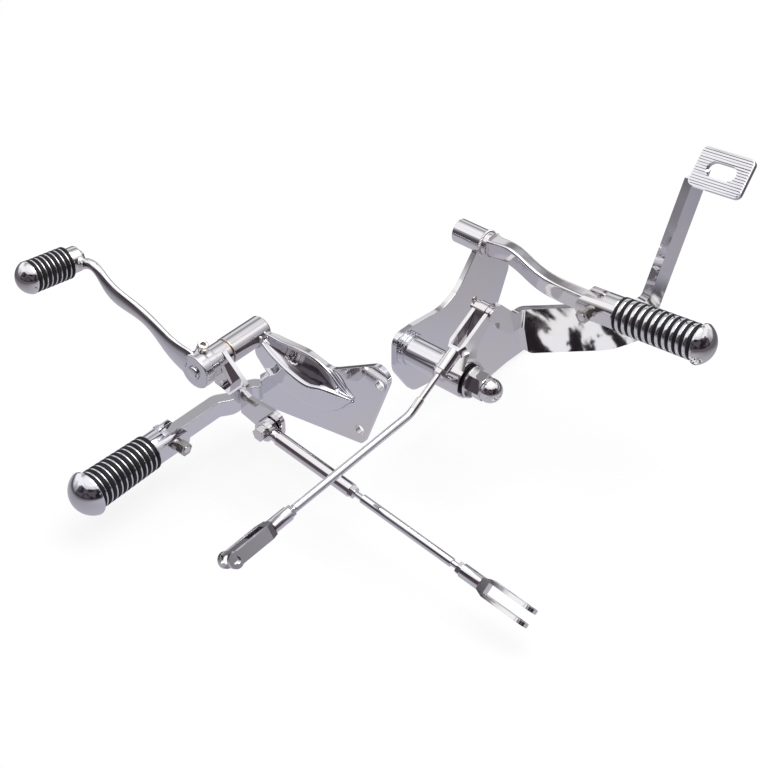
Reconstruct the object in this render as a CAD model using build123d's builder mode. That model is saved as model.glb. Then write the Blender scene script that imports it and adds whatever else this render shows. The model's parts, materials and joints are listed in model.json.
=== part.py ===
from build123d import *
import math
import os

# Motorcycle forward controls, a set of two halves with their rods crossed.
# The shift half has its outboard side towards -X and its front towards +Y.
# The brake half has its outboard side towards -Y and its front towards +X.
# The origin is midway between the two holes of the shift half's plate, on its inboard face.
# Sizes are in millimetres and angles in degrees.

# Clearances
TURN_GAP = 0.06  # radial, round a pin that turns in its bore
FIT_GAP = 0.02  # radial, round a pin or spigot that stays put
FACE_GAP = 0.3  # between faces that turn past each other

# Left plate and its two frame bolts
PLATE = 6.0
LEFT_BOLT_PCD = 73.2
LEFT_BOLT_LEAN = 20.5
FRAME_HOLE_R = 5.5
LEFT_ARM_END_Y = 146.0

# Shift shaft, its tube and bushes
SHAFT_Y = 147.0
SHAFT_Z = 20.5
TUBE_R = 14.0
TUBE_LENGTH = 50.0
TUBE_WALL = 4.0
SHAFT_R = 7.0
BUSH_LENGTH = 14.0
BUSH_FLANGE = 1.5
BUSH_FLANGE_R = 12.5
CLIP_THICK = 1.2
CLIP_R = 10.5
CLIP_GROOVE_R = 6.2
CLIP_MOUTH = 7.0
SHAFT_LAND = 2.5

# Trough bracket from the left plate out to the tube
BRACKET_LIP = 4.0
BRACKET_DISH = 3.5
BRACKET_STATIONS = (
    (-126.0, 8.0, -3.0, -10.0),
    (-111.0, 14.0, 4.0, -31.0),
    (-97.0, 20.0, 8.5, -36.0),
    (-80.0, 24.0, 12.0, -37.5),
    (-57.0, 21.0, 16.5, -39.0),
    (-35.0, 17.0, 17.0, -37.0),
    (-17.0, 12.0, 15.0, -30.0),
    (3.0, 8.5, 8.0, -18.0),
)  # ahead of the shaft, rim's distance out, rim's height, foot's height

# Crank on the shift shaft, a plate that steps outboard half way
CRANK_HUB_R = 13.5
CRANK_HUB_LENGTH = 18.7
CRANK_THROW = 86.1
CRANK_ANGLE = 211.1  # from forward, towards up
CRANK_PLATE = 5.0
CRANK_STEP = 4.0
CRANK_CLEAR = 6.0

# Shift lever
LEVER_CLEAR = 0.5
LEVER_COLLAR_R = 15.5
LEVER_COLLAR = 11.0
LEVER_HEAD_R = 18.0
LEVER_HEAD = 11.0
LEVER_TOE_REACH = 22.0
LEVER_TOE_AHEAD = 150.7
LEVER_TOE_UP = 69.0
LEVER_THICK = 10.0
LEVER_STATIONS = (
    (11.0, 3.5, 24.0, 33.0),
    (25.0, 10.0, 30.0, 29.0),
    (39.0, 19.5, 38.0, 21.0),
    (53.0, 31.0, 35.0, 15.5),
    (69.0, 39.5, 24.0, 16.0),
    (103.0, 53.0, 21.0, 17.5),
    (142.0, 66.5, 19.0, 19.0),
)  # ahead of the shaft, above it, slope, depth
LEVER_SLIT = 2.0
LEVER_SLIT_REACH = 14.0
CLAMP_OFFSET = 11.5
CLAMP_LUG_R = 5.4
CLAMP_LUG_UP = 14.5
CLAMP_LUG_DOWN = 16.0
CLAMP_BOLT_R = 2.5
CLAMP_HEAD_R = 5.3
CLAMP_HEAD = 6.0
CLAMP_SOCKET_AF = 5.0

# Toe peg on the shift lever
TOE_TILT = 3.5
TOE_SWEEP = 7.0
TOE_BOSS_R = 13.0
TOE_BOSS = 12.0
TOE_LENGTH = 43.0
TOE_RINGS = 8
TOE_RING_R = 16.3
TOE_CAP_R = 16.6
TOE_CAP_DOME = 12.0
TOE_BOLT_R = 4.0
TOE_BOLT_REACH = 20.0
TOE_BOLT_HEAD = 5.0

# Rod end and shift rod
ROD_END_R = 11.0
ROD_END_WIDTH = 9.0
ROD_END_NECK = 17.0
BALL_R = 8.5
BALL_WIDTH = 12.0
ROD_BOLT_R = 4.0
SHIFT_ROD_FALL = 8.2
SHIFT_ROD_LENGTH = 316.5
SHIFT_SHANK_R = 7.0
SHIFT_SHANK_END = 109.5
SHANK_THREAD = 25.0
SHIFT_STUD_IN = 20.0
SHIFT_STUD_OUT = 14.0
CLEVIS_STUD_IN = 18.0
CLEVIS_STUD_OUT = 12.0
SHIFT_ROD_R = 4.5
ROD_THREAD_R = 3.0
SHIFT_CLEVIS_ROLL = 42.0

# Clevises at the rods' ends
CLEVIS_LENGTH = 72.0
CLEVIS_NECK_R = 7.0
CLEVIS_NECK = 22.0
CLEVIS_HEIGHT = 13.0
CLEVIS_EYE_R = 7.8
CLEVIS_HOLE_R = 4.0
CLEVIS_SHOULDER = 8.0
CLEVIS_WIDTH = 18.5
CLEVIS_SLOT = 10.6
CLEVIS_THREAD = 18.0
REAR_SLOT_LENGTH = 42.0
FRONT_SLOT_LENGTH = 46.0

# Rider's pegs
ARM_HEIGHT = 19.0
ARM_THICK = 14.0
ARM_EDGE_R = 2.0
PEG_EAR_R = 16.0
PEG_NECK_R = 16.5
PEG_FLAT = 14.0
PEG_SLOT = 14.6
PEG_FLOOR = 11.0
PEG_ROOT = 26.0
PEG_RINGS = 12
LEFT_PEG = (79.0, 18.3, 20.0, 23.2, 17.0)
RIGHT_PEG = (90.0, 17.4, 17.9, 20.4, 13.0)  # length, rings' radius at root and tip, cap's radius, dome
RING_SHARE = 0.5
RING_PROUD = 0.9
RING_DEPTH = 2.4
RING_EDGE = 1.0
CAP_BAND = 2.0
PEG_SPIGOT_R = 6.0
PEG_SPIGOT = 6.0
PEG_PIN_R = 4.0
PEG_PIN_HEAD_R = 7.0
PEG_PIN_HEAD = 4.5
PEG_NUT_AF = 13.0
PEG_NUT = 8.0
PEG_WASHER_R = 6.0
PEG_WASHER = 3.5

# Left peg arm and hinge
LEFT_HINGE_OUT = 117.0
LEFT_HINGE_AHEAD = 20.0
LEFT_HINGE_Z = -58.0
LEFT_ARM_JOG_OUT = 38.0
LEFT_ARM_JOG_RUN = 12.0
LEFT_ARM_JOG_AHEAD = 11.5
LEFT_ARM_BEND = 11.0

# Right plate and its tube
RIGHT_FACE_Y = 20.0
RIGHT_TUBE_X = 190.0
RIGHT_TUBE_Z = 83.0
RIGHT_TUBE_R = 12.5
RIGHT_TUBE_BORE_R = 8.5
RIGHT_TUBE_FRONT = 7.6
RIGHT_TUBE_LENGTH = 41.4
LOBE_X = 292.0
LOBE_Z = -88.0

# Right peg arm and hinge
RIGHT_HINGE_BACK = 2.0
RIGHT_HINGE_DROP = 11.5
RIGHT_HINGE_Y = -122.0
RIGHT_PEG_TILT = 5.0
RIGHT_ARM_STATIONS = (
    (-8.0, 2.3),
    (-22.0, 1.6),
    (-36.0, -3.4),
    (-50.0, -9.4),
    (-64.0, -12.8),
    (-84.0, -13.7),
)  # y, height above the tube's axis

# Brake pedal pivot
PIVOT_X = 76.0
PIVOT_Z = 14.0
PIVOT_TUBE_R = 15.0
PIVOT_TUBE_LENGTH = 46.0
COLLAR_R = 17.5
COLLAR_LENGTH = 6.0
PIVOT_BOLT_R = 8.0
PIVOT_HEAD_AF = 22.0
PIVOT_HEAD = 4.0
PEDAL_BUSH_R = 11.0
PEDAL_HUB_R = 19.5
PEDAL_HUB_LENGTH = 31.0
SEAL_R = 16.0
SEAL_THICK = 3.0
WASHER_R = 17.0
WASHER_THICK = 2.5
PIVOT_NUT_AF = 24.0
PIVOT_NUT = 14.0
PIVOT_DOME = 17.0

# Brake pedal, its rod's pin and its pad
PIN_X = 101.0
PIN_Z = 79.7
CLEVIS_PIN_R = 4.0
PIN_HEAD_R = 6.5
PIN_HEAD = 2.5
PEDAL_BOSS_R = 9.0
PEDAL_WEB_R = 17.0
PEDAL_WEB_HOLLOW_R = 35.5
PEDAL_WEB_HOLLOW_AHEAD = 44.0
PEDAL_WEB_HOLLOW_UP = 18.0
PEDAL_BOSS_THICK = 10.0
STRAP_THICK = 6.5
STRAP_TURN = 46.0
STRAP_BEND_X = 159.8
STRAP_BEND_R = 10.0
STRAP_TOP = 51.1
STRAP_BOTTOM = -2.6
PEDAL_ARM_TOP = 214.0
PEDAL_ARM_X = 276.8
PAD_WIDTH = 56.0
PAD_DEPTH = 41.0
PAD_THICK = 5.0
PAD_CORNER = 6.0
PAD_SLOPE = 41.0
PAD_TILT = 5.0
PAD_CORNER_BACK = 20.2  # from the arm's top corner
PAD_CORNER_OUT = 8.7607  # from the strap's middle
PAD_CORNER_DOWN = 21.0  # from the arm's top
PAD_RIBS = 14
PAD_RIB_HEIGHT = 1.2
PAD_SLOT_LENGTH = 31.0
PAD_SLOT_WIDTH = 16.0

# Brake rod
BRAKE_ROD_SLOPE = 28.0
BRAKE_ROD_R = 4.0
BRAKE_FRONT_RUN = 52.5
BRAKE_REAR_RUN = 167.6
BRAKE_BEND_R = 25.0
BRAKE_ROD_FALL = 2.65
BRAKE_STUD_LENGTH = 34.0
REAR_STUD_LENGTH = 8.0
THREAD_IN = 16.0
BRAKE_CLEVIS_ROLL = 32.0
JAM_NUT_AF = 11.0
JAM_NUT = 5.0

# Worked out from the above
LEFT_ARM_OUT = PLATE / 2
LEFT_ARM_JOG_Y = LEFT_ARM_END_Y + LEFT_ARM_JOG_AHEAD
LEFT_HINGE_Y = LEFT_ARM_END_Y + LEFT_HINGE_AHEAD
BUSH_R = TUBE_R - TUBE_WALL
HUB_START = TUBE_LENGTH + BUSH_FLANGE + FACE_GAP
CRANK_START = HUB_START + CRANK_CLEAR
CRANK_EYE_FACE = CRANK_START + CRANK_STEP + CRANK_PLATE
LEVER_COLLAR_OUT = HUB_START + CRANK_HUB_LENGTH + LEVER_CLEAR
LEVER_HEAD_OUT = LEVER_COLLAR_OUT + LEVER_COLLAR
RIGHT_HINGE = (RIGHT_TUBE_X - RIGHT_HINGE_BACK, RIGHT_HINGE_Y, RIGHT_TUBE_Z - RIGHT_HINGE_DROP)
PEDAL_HUB_Y = RIGHT_FACE_Y - PIVOT_TUBE_LENGTH - FACE_GAP
RIGHT_MID_Y = PEDAL_HUB_Y - PEDAL_HUB_LENGTH + PEDAL_BOSS_THICK / 2
LOW = (Align.CENTER, Align.CENTER, Align.MIN)

os.makedirs("parts", exist_ok=True)


def keep(piece, name):
    """Label a finished piece and write it under that name."""
    piece.label = name
    export_step(piece, f"parts/{name}.step")


def left_face(out):
    """Plane of the shift half at a distance outboard, facing inboard, forward and up."""
    return Plane(origin=(-out, 0, 0), x_dir=(0, 1, 0), z_dir=(1, 0, 0))


def right_face(y):
    """Plane of the brake half at y, facing outboard, forward and up."""
    return Plane(origin=(0, y, 0), x_dir=(1, 0, 0), z_dir=(0, -1, 0))


def shaft_at(out):
    """Plane on the shift shaft's axis at a distance outboard, facing outboard."""
    return Plane(origin=(-out, SHAFT_Y, SHAFT_Z), x_dir=(0, -1, 0), z_dir=(-1, 0, 0))


def by_shaft(ahead, up):
    """Point of the shift half's faces, ahead of the shaft's axis and above it."""
    return (SHAFT_Y + ahead, SHAFT_Z + up)


def pivot_at(y):
    """Plane on the brake pivot's axis at y, facing outboard."""
    return Plane(origin=(PIVOT_X, y, PIVOT_Z), x_dir=(1, 0, 0), z_dir=(0, -1, 0))


def across(plane):
    """Plane along a plane's own x, through its origin, for a pin that crosses it."""
    return Plane(origin=plane.origin, x_dir=plane.z_dir, z_dir=plane.x_dir)


def section_of(plane):
    """Plane that cuts a turned piece lengthwise: local x is the radius, y the axis."""
    return Plane(origin=plane.origin, x_dir=plane.x_dir, z_dir=-plane.y_dir)


def bar(plane, radius, length, mode=Mode.ADD):
    """Round bar, or bore, from a plane along its normal."""
    with Locations(plane):
        Cylinder(radius, length, align=LOW, mode=mode)


def bore(plane, radius, length):
    """Round hole from a plane along its normal."""
    bar(plane, radius, length, Mode.SUBTRACT)


def rolled(plane, angle):
    """The same plane, turned about its own normal."""
    return Plane(plane.origin, x_dir=plane.x_dir.rotate(Axis((0, 0, 0), plane.z_dir), angle), z_dir=plane.z_dir)


def dome_profile(radius, start, height):
    """Arc of a dome from its rim to its tip, radius along x and the axis along y."""
    dome_r = (radius**2 + height**2) / (2 * height)
    half = math.asin(radius / dome_r) / 2
    middle = (dome_r * math.sin(half), start + height - dome_r * (1 - math.cos(half)))
    return ThreePointArc((radius, start), middle, (0, start + height))


def hexagon(plane, across_flats, length):
    """Hexagonal head or nut from a plane along its normal."""
    with BuildSketch(plane) as outline:
        RegularPolygon(across_flats / 2, 6, major_radius=False)
    extrude(outline.sketch, amount=length)


# Left mounting plate
lean = math.radians(LEFT_BOLT_LEAN)
bolt_forward = LEFT_BOLT_PCD / 2 * math.sin(lean)
bolt_up = LEFT_BOLT_PCD / 2 * math.cos(lean)

with BuildPart() as left_mount_plate:
    with BuildSketch(left_face(PLATE)):
        with BuildLine():
            FilletPolyline(
                (8.5, -50.3),
                (LEFT_ARM_END_Y, -71.9),
                (LEFT_ARM_END_Y, -34.0),
                by_shaft(-14, -46.5),
                by_shaft(4, -29.5),
                by_shaft(4, -6.5),
                by_shaft(-18.2, 3.9),
                by_shaft(-67.5, 7.3),
                by_shaft(-97.2, 0.2),
                (-34.7, 70.9),
                radius=(8, 1, 3, 6, 4, 1, 30, 30, 20, 13),
                close=True,
            )
        make_face()
        with Locations((-bolt_forward, bolt_up), (bolt_forward, -bolt_up)):
            Circle(FRAME_HOLE_R, mode=Mode.SUBTRACT)
        with Locations((SHAFT_Y, SHAFT_Z)):
            Circle(TUBE_R, mode=Mode.SUBTRACT)
    extrude(amount=PLATE)
keep(left_mount_plate.part, "left_mount_plate")

# Bracket from the left plate out to the tube, with a rolled rim and a shallow dish on top
with BuildPart() as left_tube_bracket:
    for ahead, rim_out, rim_up, foot in BRACKET_STATIONS:
        with BuildSketch(Plane(origin=(0, SHAFT_Y + ahead, 0), x_dir=(-1, 0, 0), z_dir=(0, 1, 0))):
            with BuildLine():
                lip = min(BRACKET_LIP, (rim_out - PLATE) * 0.4)
                Polyline(
                    (PLATE, foot),
                    (PLATE + (rim_out - PLATE) * 0.8, foot + (rim_up - foot) * 0.3),
                    (rim_out, rim_up - lip),
                    (rim_out - lip / 3, rim_up),
                    (rim_out - lip, rim_up),
                    ((PLATE + rim_out - lip) / 2, rim_up - BRACKET_DISH * lip / BRACKET_LIP),
                    (PLATE, rim_up + lip / 2),
                    close=True,
                )
            make_face()
    loft()
    bore(shaft_at(0), TUBE_R, TUBE_LENGTH)
keep(left_tube_bracket.part, "left_tube_bracket")

# Tube that carries the shift shaft
with BuildPart() as shift_shaft_tube:
    bar(shaft_at(0), TUBE_R, TUBE_LENGTH)
    bore(shaft_at(0), BUSH_R, TUBE_LENGTH)
keep(shift_shaft_tube.part, "shift_shaft_tube")

# Two flanged bushes, one in each end of the tube
with BuildPart() as shift_shaft_bushes:
    for end, inward in ((0.0, 1), (TUBE_LENGTH, -1)):
        face = shaft_at(end)
        along = face if inward > 0 else Plane(face.origin, x_dir=face.x_dir, z_dir=-face.z_dir)
        bar(along, BUSH_R, BUSH_LENGTH)
        bar(along.offset(-BUSH_FLANGE), BUSH_FLANGE_R, BUSH_FLANGE)
        bore(along.offset(-BUSH_FLANGE), SHAFT_R + TURN_GAP, BUSH_FLANGE + BUSH_LENGTH)
keep(shift_shaft_bushes.part, "shift_shaft_bushes")

# Shift shaft with the groove of its retaining ring
clip_at = BUSH_FLANGE + FACE_GAP
shaft_in = clip_at + CLIP_THICK + SHAFT_LAND
lever_end = LEVER_HEAD_OUT + LEVER_HEAD
with BuildPart() as shift_shaft:
    bar(shaft_at(-shaft_in), SHAFT_R, shaft_in + lever_end)
    with BuildSketch(shaft_at(-clip_at - CLIP_THICK)):
        Circle(SHAFT_R)
        Circle(CLIP_GROOVE_R, mode=Mode.SUBTRACT)
    extrude(amount=CLIP_THICK, mode=Mode.SUBTRACT)
    chamfer(shift_shaft.edges().sort_by(Axis.X)[0], 1)
keep(shift_shaft.part, "shift_shaft")

with BuildPart() as shift_shaft_circlip:
    with BuildSketch(shaft_at(-clip_at - CLIP_THICK)):
        Circle(CLIP_R)
        Circle(CLIP_GROOVE_R + FIT_GAP, mode=Mode.SUBTRACT)
        with Locations((0, -CLIP_R)):
            Rectangle(CLIP_MOUTH, CLIP_R, mode=Mode.SUBTRACT)
    extrude(amount=CLIP_THICK)
keep(shift_shaft_circlip.part, "shift_shaft_circlip")

# Crank: a hub, a plate that reaches down, and a lower plate that steps outboard to the rod end
crank_turn = math.radians(CRANK_ANGLE)
eye_y = SHAFT_Y + CRANK_THROW * math.cos(crank_turn)
eye_z = SHAFT_Z + CRANK_THROW * math.sin(crank_turn)
with BuildPart() as shift_crank:
    with BuildSketch(left_face(CRANK_START + CRANK_PLATE)):
        with BuildLine():
            FilletPolyline(
                by_shaft(12, 3),
                by_shaft(5, 13),
                by_shaft(-8, 12),
                by_shaft(-39, -16.5),
                by_shaft(-42, -45.5),
                by_shaft(-28, -44),
                by_shaft(-1, -34.5),
                radius=(6, 6, 8, 8, 1, 10, 14),
                close=True,
            )
        make_face()
    extrude(amount=CRANK_PLATE)
    with BuildSketch(left_face(CRANK_EYE_FACE)):
        with BuildLine():
            FilletPolyline(
                by_shaft(-34, -18),
                by_shaft(-45, -24),
                (eye_y - 15, SHAFT_Z - 25),
                (eye_y - 15, SHAFT_Z - 58.5),
                (eye_y + 12, SHAFT_Z - 56),
                by_shaft(-34, -48.5),
                radius=(1, 4, 12, 14, 10, 1),
                close=True,
            )
        make_face()
    extrude(amount=CRANK_PLATE)
    with BuildSketch(left_face(HUB_START + CRANK_HUB_LENGTH)):
        with BuildLine():
            FilletPolyline(
                by_shaft(4, -12.5),
                by_shaft(-4, -25),
                by_shaft(-23, -28),
                by_shaft(-26, -15.5),
                by_shaft(-12, 1.5),
                radius=2,
                close=True,
            )
        make_face()
    extrude(amount=HUB_START + CRANK_HUB_LENGTH - CRANK_START)
    bar(shaft_at(HUB_START), CRANK_HUB_R, CRANK_HUB_LENGTH)
    bore(shaft_at(HUB_START), SHAFT_R + FIT_GAP, CRANK_HUB_LENGTH)
    bore(Plane((-CRANK_START, eye_y, eye_z), z_dir=(-1, 0, 0)), ROD_BOLT_R + FIT_GAP, CRANK_STEP + CRANK_PLATE)
keep(shift_crank.part, "shift_crank")

# Shift lever: a split collar, a round head, a bent arm of oval section and a boss for the toe peg
lever_mid = LEVER_HEAD_OUT + LEVER_HEAD / 2
toe_tilt = math.radians(TOE_TILT)
toe_sweep = math.radians(TOE_SWEEP)
toe = Plane(
    origin=(-LEVER_HEAD_OUT - LEVER_TOE_REACH, SHAFT_Y + LEVER_TOE_AHEAD, SHAFT_Z + LEVER_TOE_UP),
    x_dir=(-math.sin(toe_sweep), -math.cos(toe_sweep), 0),
    z_dir=(-math.cos(toe_tilt) * math.cos(toe_sweep), math.cos(toe_tilt) * math.sin(toe_sweep), math.sin(toe_tilt)),
)
lever_slope = math.radians(LEVER_STATIONS[0][2])
clamp = Plane(
    origin=(
        -(LEVER_COLLAR_OUT + LEVER_COLLAR / 2),
        SHAFT_Y + CLAMP_OFFSET * math.cos(lever_slope),
        SHAFT_Z + CLAMP_OFFSET * math.sin(lever_slope),
    ),
    x_dir=(1, 0, 0),
    z_dir=(0, -math.sin(lever_slope), math.cos(lever_slope)),
)
with BuildPart() as shift_lever:
    for ahead, up, slope, depth in LEVER_STATIONS:
        out = lever_mid + (LEVER_TOE_REACH - LEVER_HEAD / 2) * ahead / LEVER_TOE_AHEAD
        heading = (0, math.cos(math.radians(slope)), math.sin(math.radians(slope)))
        with BuildSketch(Plane(origin=(-out, *by_shaft(ahead, up)), x_dir=(1, 0, 0), z_dir=heading)):
            Ellipse(LEVER_THICK / 2, depth / 2)
    loft()
    bar(shaft_at(LEVER_HEAD_OUT), LEVER_HEAD_R, LEVER_HEAD)
    bar(shaft_at(LEVER_COLLAR_OUT), LEVER_COLLAR_R, LEVER_COLLAR)
    bar(clamp.offset(-CLAMP_LUG_DOWN), CLAMP_LUG_R, CLAMP_LUG_DOWN + CLAMP_LUG_UP)
    bar(toe.offset(-TOE_BOSS / 2), TOE_BOSS_R, TOE_BOSS)
    bore(shaft_at(LEVER_COLLAR_OUT), SHAFT_R + FIT_GAP, LEVER_COLLAR + LEVER_HEAD)
    bore(clamp.offset(-CLAMP_LUG_DOWN), CLAMP_BOLT_R + FIT_GAP, CLAMP_LUG_DOWN + CLAMP_LUG_UP)
    bore(toe.offset(-TOE_BOSS / 2), TOE_BOLT_R + FIT_GAP, TOE_BOSS)
    with Locations(clamp):
        Box(
            LEVER_COLLAR,
            LEVER_SLIT_REACH,
            LEVER_SLIT,
            align=(Align.CENTER, Align.CENTER, Align.CENTER),
            mode=Mode.SUBTRACT,
        )
keep(shift_lever.part, "shift_lever")

with BuildPart() as shift_lever_clamp_bolt:
    bar(clamp.offset(-CLAMP_LUG_DOWN - 1), CLAMP_BOLT_R, CLAMP_LUG_DOWN + CLAMP_LUG_UP + 1)
    bar(clamp.offset(CLAMP_LUG_UP), CLAMP_HEAD_R, CLAMP_HEAD)
    with BuildSketch(clamp.offset(CLAMP_LUG_UP + CLAMP_HEAD)):
        RegularPolygon(CLAMP_SOCKET_AF / 2, 6, major_radius=False)
    extrude(amount=-CLAMP_HEAD / 2, mode=Mode.SUBTRACT)
keep(shift_lever_clamp_bolt.part, "shift_lever_clamp_bolt")


def ring_set(axis_plane, start, length, count, root_radius, tip_radius):
    """Rubber rings along a peg, each seated in a groove of its own."""
    pitch = length / count
    width = pitch * RING_SHARE
    with BuildPart() as rings:
        with BuildSketch(section_of(axis_plane)):
            for step in range(count):
                outer = root_radius + (tip_radius - root_radius) * step / (count - 1)
                inner = outer - RING_DEPTH
                low = start + pitch * step + (pitch - width) / 2
                high = low + width
                with BuildLine():
                    Polyline(
                        (inner, low),
                        (outer - RING_EDGE / 2, low),
                        (outer, low + RING_EDGE),
                        (outer, high - RING_EDGE),
                        (outer - RING_EDGE / 2, high),
                        (inner, high),
                        close=True,
                    )
                make_face()
        revolve(axis=Axis(axis_plane.origin, axis_plane.z_dir))
    return rings.part


def grooved(axis_plane, start, length, root_radius, tip_radius, rings):
    """Tapered round core of a peg, less the room of its rings."""
    with BuildSketch(section_of(axis_plane)) as outline:
        with BuildLine():
            Polyline(
                (0, start),
                (root_radius - RING_PROUD, start),
                (tip_radius - RING_PROUD, start + length),
                (0, start + length),
                close=True,
            )
        make_face()
    revolve(outline.sketch, axis=Axis(axis_plane.origin, axis_plane.z_dir))
    add(rings, mode=Mode.SUBTRACT)
    bar(axis_plane.offset(start + length), PEG_SPIGOT_R, PEG_SPIGOT)


def end_cap(axis_plane, start, radius, dome):
    """Domed cap that screws on a peg's end."""
    with BuildPart() as cap:
        with BuildSketch(section_of(axis_plane)):
            with BuildLine():
                Polyline((0, start + CAP_BAND + dome), (0, start), (radius, start), (radius, start + CAP_BAND))
                dome_profile(radius, start + CAP_BAND, dome)
            make_face()
        revolve(axis=Axis(axis_plane.origin, axis_plane.z_dir))
        bore(axis_plane.offset(start), PEG_SPIGOT_R + FIT_GAP, PEG_SPIGOT + FACE_GAP)
    return cap.part


# Toe peg
toe_start = TOE_BOSS / 2
toe_rings = ring_set(toe, toe_start, TOE_LENGTH, TOE_RINGS, TOE_RING_R, TOE_RING_R)
keep(toe_rings, "toe_peg_rings")
with BuildPart() as toe_peg_core:
    grooved(toe, toe_start, TOE_LENGTH, TOE_RING_R, TOE_RING_R, toe_rings)
    bore(toe.offset(toe_start), TOE_BOLT_R + FIT_GAP, TOE_BOLT_REACH + 2)
keep(toe_peg_core.part, "toe_peg_core")
keep(end_cap(toe, toe_start + TOE_LENGTH, TOE_CAP_R, TOE_CAP_DOME), "toe_peg_cap")
with BuildPart() as toe_peg_bolt:
    bar(toe.offset(-toe_start), TOE_BOLT_R, TOE_BOSS + TOE_BOLT_REACH)
    hexagon(toe.offset(-toe_start), PEG_NUT_AF, -TOE_BOLT_HEAD)
keep(toe_peg_bolt.part, "toe_peg_bolt")

# Rod end with its ball, bolt and nut
eye = Plane(
    origin=(-(CRANK_EYE_FACE + BALL_WIDTH / 2), eye_y, eye_z),
    x_dir=(-1, 0, 0),
    z_dir=(0, -math.cos(math.radians(SHIFT_ROD_FALL)), -math.sin(math.radians(SHIFT_ROD_FALL))),
)
eye_pin = across(eye)
with BuildPart() as shift_rod_end:
    bar(eye_pin.offset(-ROD_END_WIDTH / 2), ROD_END_R, ROD_END_WIDTH)
    bar(eye, BALL_WIDTH / 2 - FACE_GAP, ROD_END_NECK + 1)
    bar(eye.offset(ROD_END_NECK), SHIFT_SHANK_R, SHIFT_SHANK_END - ROD_END_NECK)
    with Locations(eye_pin):
        Sphere(BALL_R + TURN_GAP, mode=Mode.SUBTRACT)
        Cylinder(BALL_R - 2, ROD_END_WIDTH * 2, mode=Mode.SUBTRACT)
    bore(eye.offset(SHIFT_SHANK_END - SHANK_THREAD), ROD_THREAD_R + FIT_GAP, SHANK_THREAD)
keep(shift_rod_end.part, "shift_rod_end")

with BuildPart() as rod_end_ball:
    with Locations(eye_pin):
        Sphere(BALL_R)
        Cylinder(BALL_R + 1, BALL_WIDTH, mode=Mode.INTERSECT)
        Cylinder(ROD_BOLT_R + FIT_GAP, BALL_WIDTH * 2, mode=Mode.SUBTRACT)
keep(rod_end_ball.part, "rod_end_ball")

with BuildPart() as rod_end_bolt:
    head_at = eye_pin.offset(BALL_WIDTH / 2)
    inner_end = BALL_WIDTH / 2 + CRANK_PLATE + 9
    bar(eye_pin.offset(-inner_end), ROD_BOLT_R, inner_end + BALL_WIDTH / 2)
    hexagon(head_at, PEG_NUT_AF, 6)
keep(rod_end_bolt.part, "rod_end_bolt")

with BuildPart() as rod_end_nut:
    hexagon(eye_pin.offset(-BALL_WIDTH / 2 - CRANK_PLATE), PEG_NUT_AF, -6.5)
    bore(eye_pin.offset(-inner_end), ROD_BOLT_R + FIT_GAP, inner_end)
keep(rod_end_nut.part, "rod_end_nut")

# Shift rod, thinner at both threads
clevis_start = SHIFT_ROD_LENGTH - CLEVIS_LENGTH
shift_span = clevis_start - SHIFT_SHANK_END
with BuildPart() as shift_rod:
    bar(eye.offset(SHIFT_SHANK_END - SHIFT_STUD_IN), ROD_THREAD_R, shift_span + SHIFT_STUD_IN + CLEVIS_STUD_IN)
    bar(eye.offset(SHIFT_SHANK_END + SHIFT_STUD_OUT), SHIFT_ROD_R, shift_span - SHIFT_STUD_OUT - CLEVIS_STUD_OUT)
keep(shift_rod.part, "shift_rod")

with BuildPart() as shift_rod_jam_nuts:
    for place in (SHIFT_SHANK_END, clevis_start - JAM_NUT):
        hexagon(eye.offset(place), JAM_NUT_AF, JAM_NUT)
    bore(eye.offset(SHIFT_SHANK_END - 5), ROD_THREAD_R + FIT_GAP, clevis_start)
keep(shift_rod_jam_nuts.part, "shift_rod_jam_nuts")


def clevis(start, roll, slot_length):
    """Fork that screws on a rod's end, from its neck to the pin's hole."""
    base = rolled(start, roll)
    with BuildPart() as fork:
        with BuildSketch(across(base)):
            with Locations(((CLEVIS_LENGTH + CLEVIS_NECK) / 2, 0)):
                Rectangle(CLEVIS_LENGTH - CLEVIS_NECK, CLEVIS_HEIGHT)
            with Locations((CLEVIS_LENGTH, 0)):
                Circle(CLEVIS_EYE_R)
        extrude(amount=CLEVIS_WIDTH / 2, both=True)
        with BuildSketch(Plane(base.origin, x_dir=base.z_dir, z_dir=base.y_dir)):
            with BuildLine():
                Polyline(
                    (CLEVIS_NECK, CLEVIS_NECK_R - 1),
                    (CLEVIS_NECK + CLEVIS_SHOULDER, CLEVIS_WIDTH / 2),
                    (CLEVIS_LENGTH + CLEVIS_EYE_R, CLEVIS_WIDTH / 2),
                    (CLEVIS_LENGTH + CLEVIS_EYE_R, -CLEVIS_WIDTH / 2),
                    (CLEVIS_NECK + CLEVIS_SHOULDER, -CLEVIS_WIDTH / 2),
                    (CLEVIS_NECK, 1 - CLEVIS_NECK_R),
                    close=True,
                )
            make_face()
        extrude(amount=2 * CLEVIS_EYE_R, both=True, mode=Mode.INTERSECT)
        bar(base, CLEVIS_NECK_R, CLEVIS_NECK)
        with Locations(base.offset(CLEVIS_LENGTH - slot_length)):
            Box(CLEVIS_SLOT, 4 * CLEVIS_EYE_R, slot_length + 2 * CLEVIS_EYE_R, align=LOW, mode=Mode.SUBTRACT)
        pin_line = across(base.offset(CLEVIS_LENGTH))
        bore(pin_line.offset(-CLEVIS_WIDTH), CLEVIS_HOLE_R + FIT_GAP, 2 * CLEVIS_WIDTH)
        bore(base, ROD_THREAD_R + FIT_GAP, CLEVIS_THREAD)
    return fork.part


keep(clevis(eye.offset(clevis_start), SHIFT_CLEVIS_ROLL, REAR_SLOT_LENGTH), "shift_rod_clevis")

# Left peg arm: a flat bar that bends from the plate's end out to the hinge
left_hinge = Plane(origin=(-LEFT_HINGE_OUT, LEFT_HINGE_Y, LEFT_HINGE_Z), x_dir=(0, -1, 0), z_dir=(-1, 0, 0))


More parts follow.
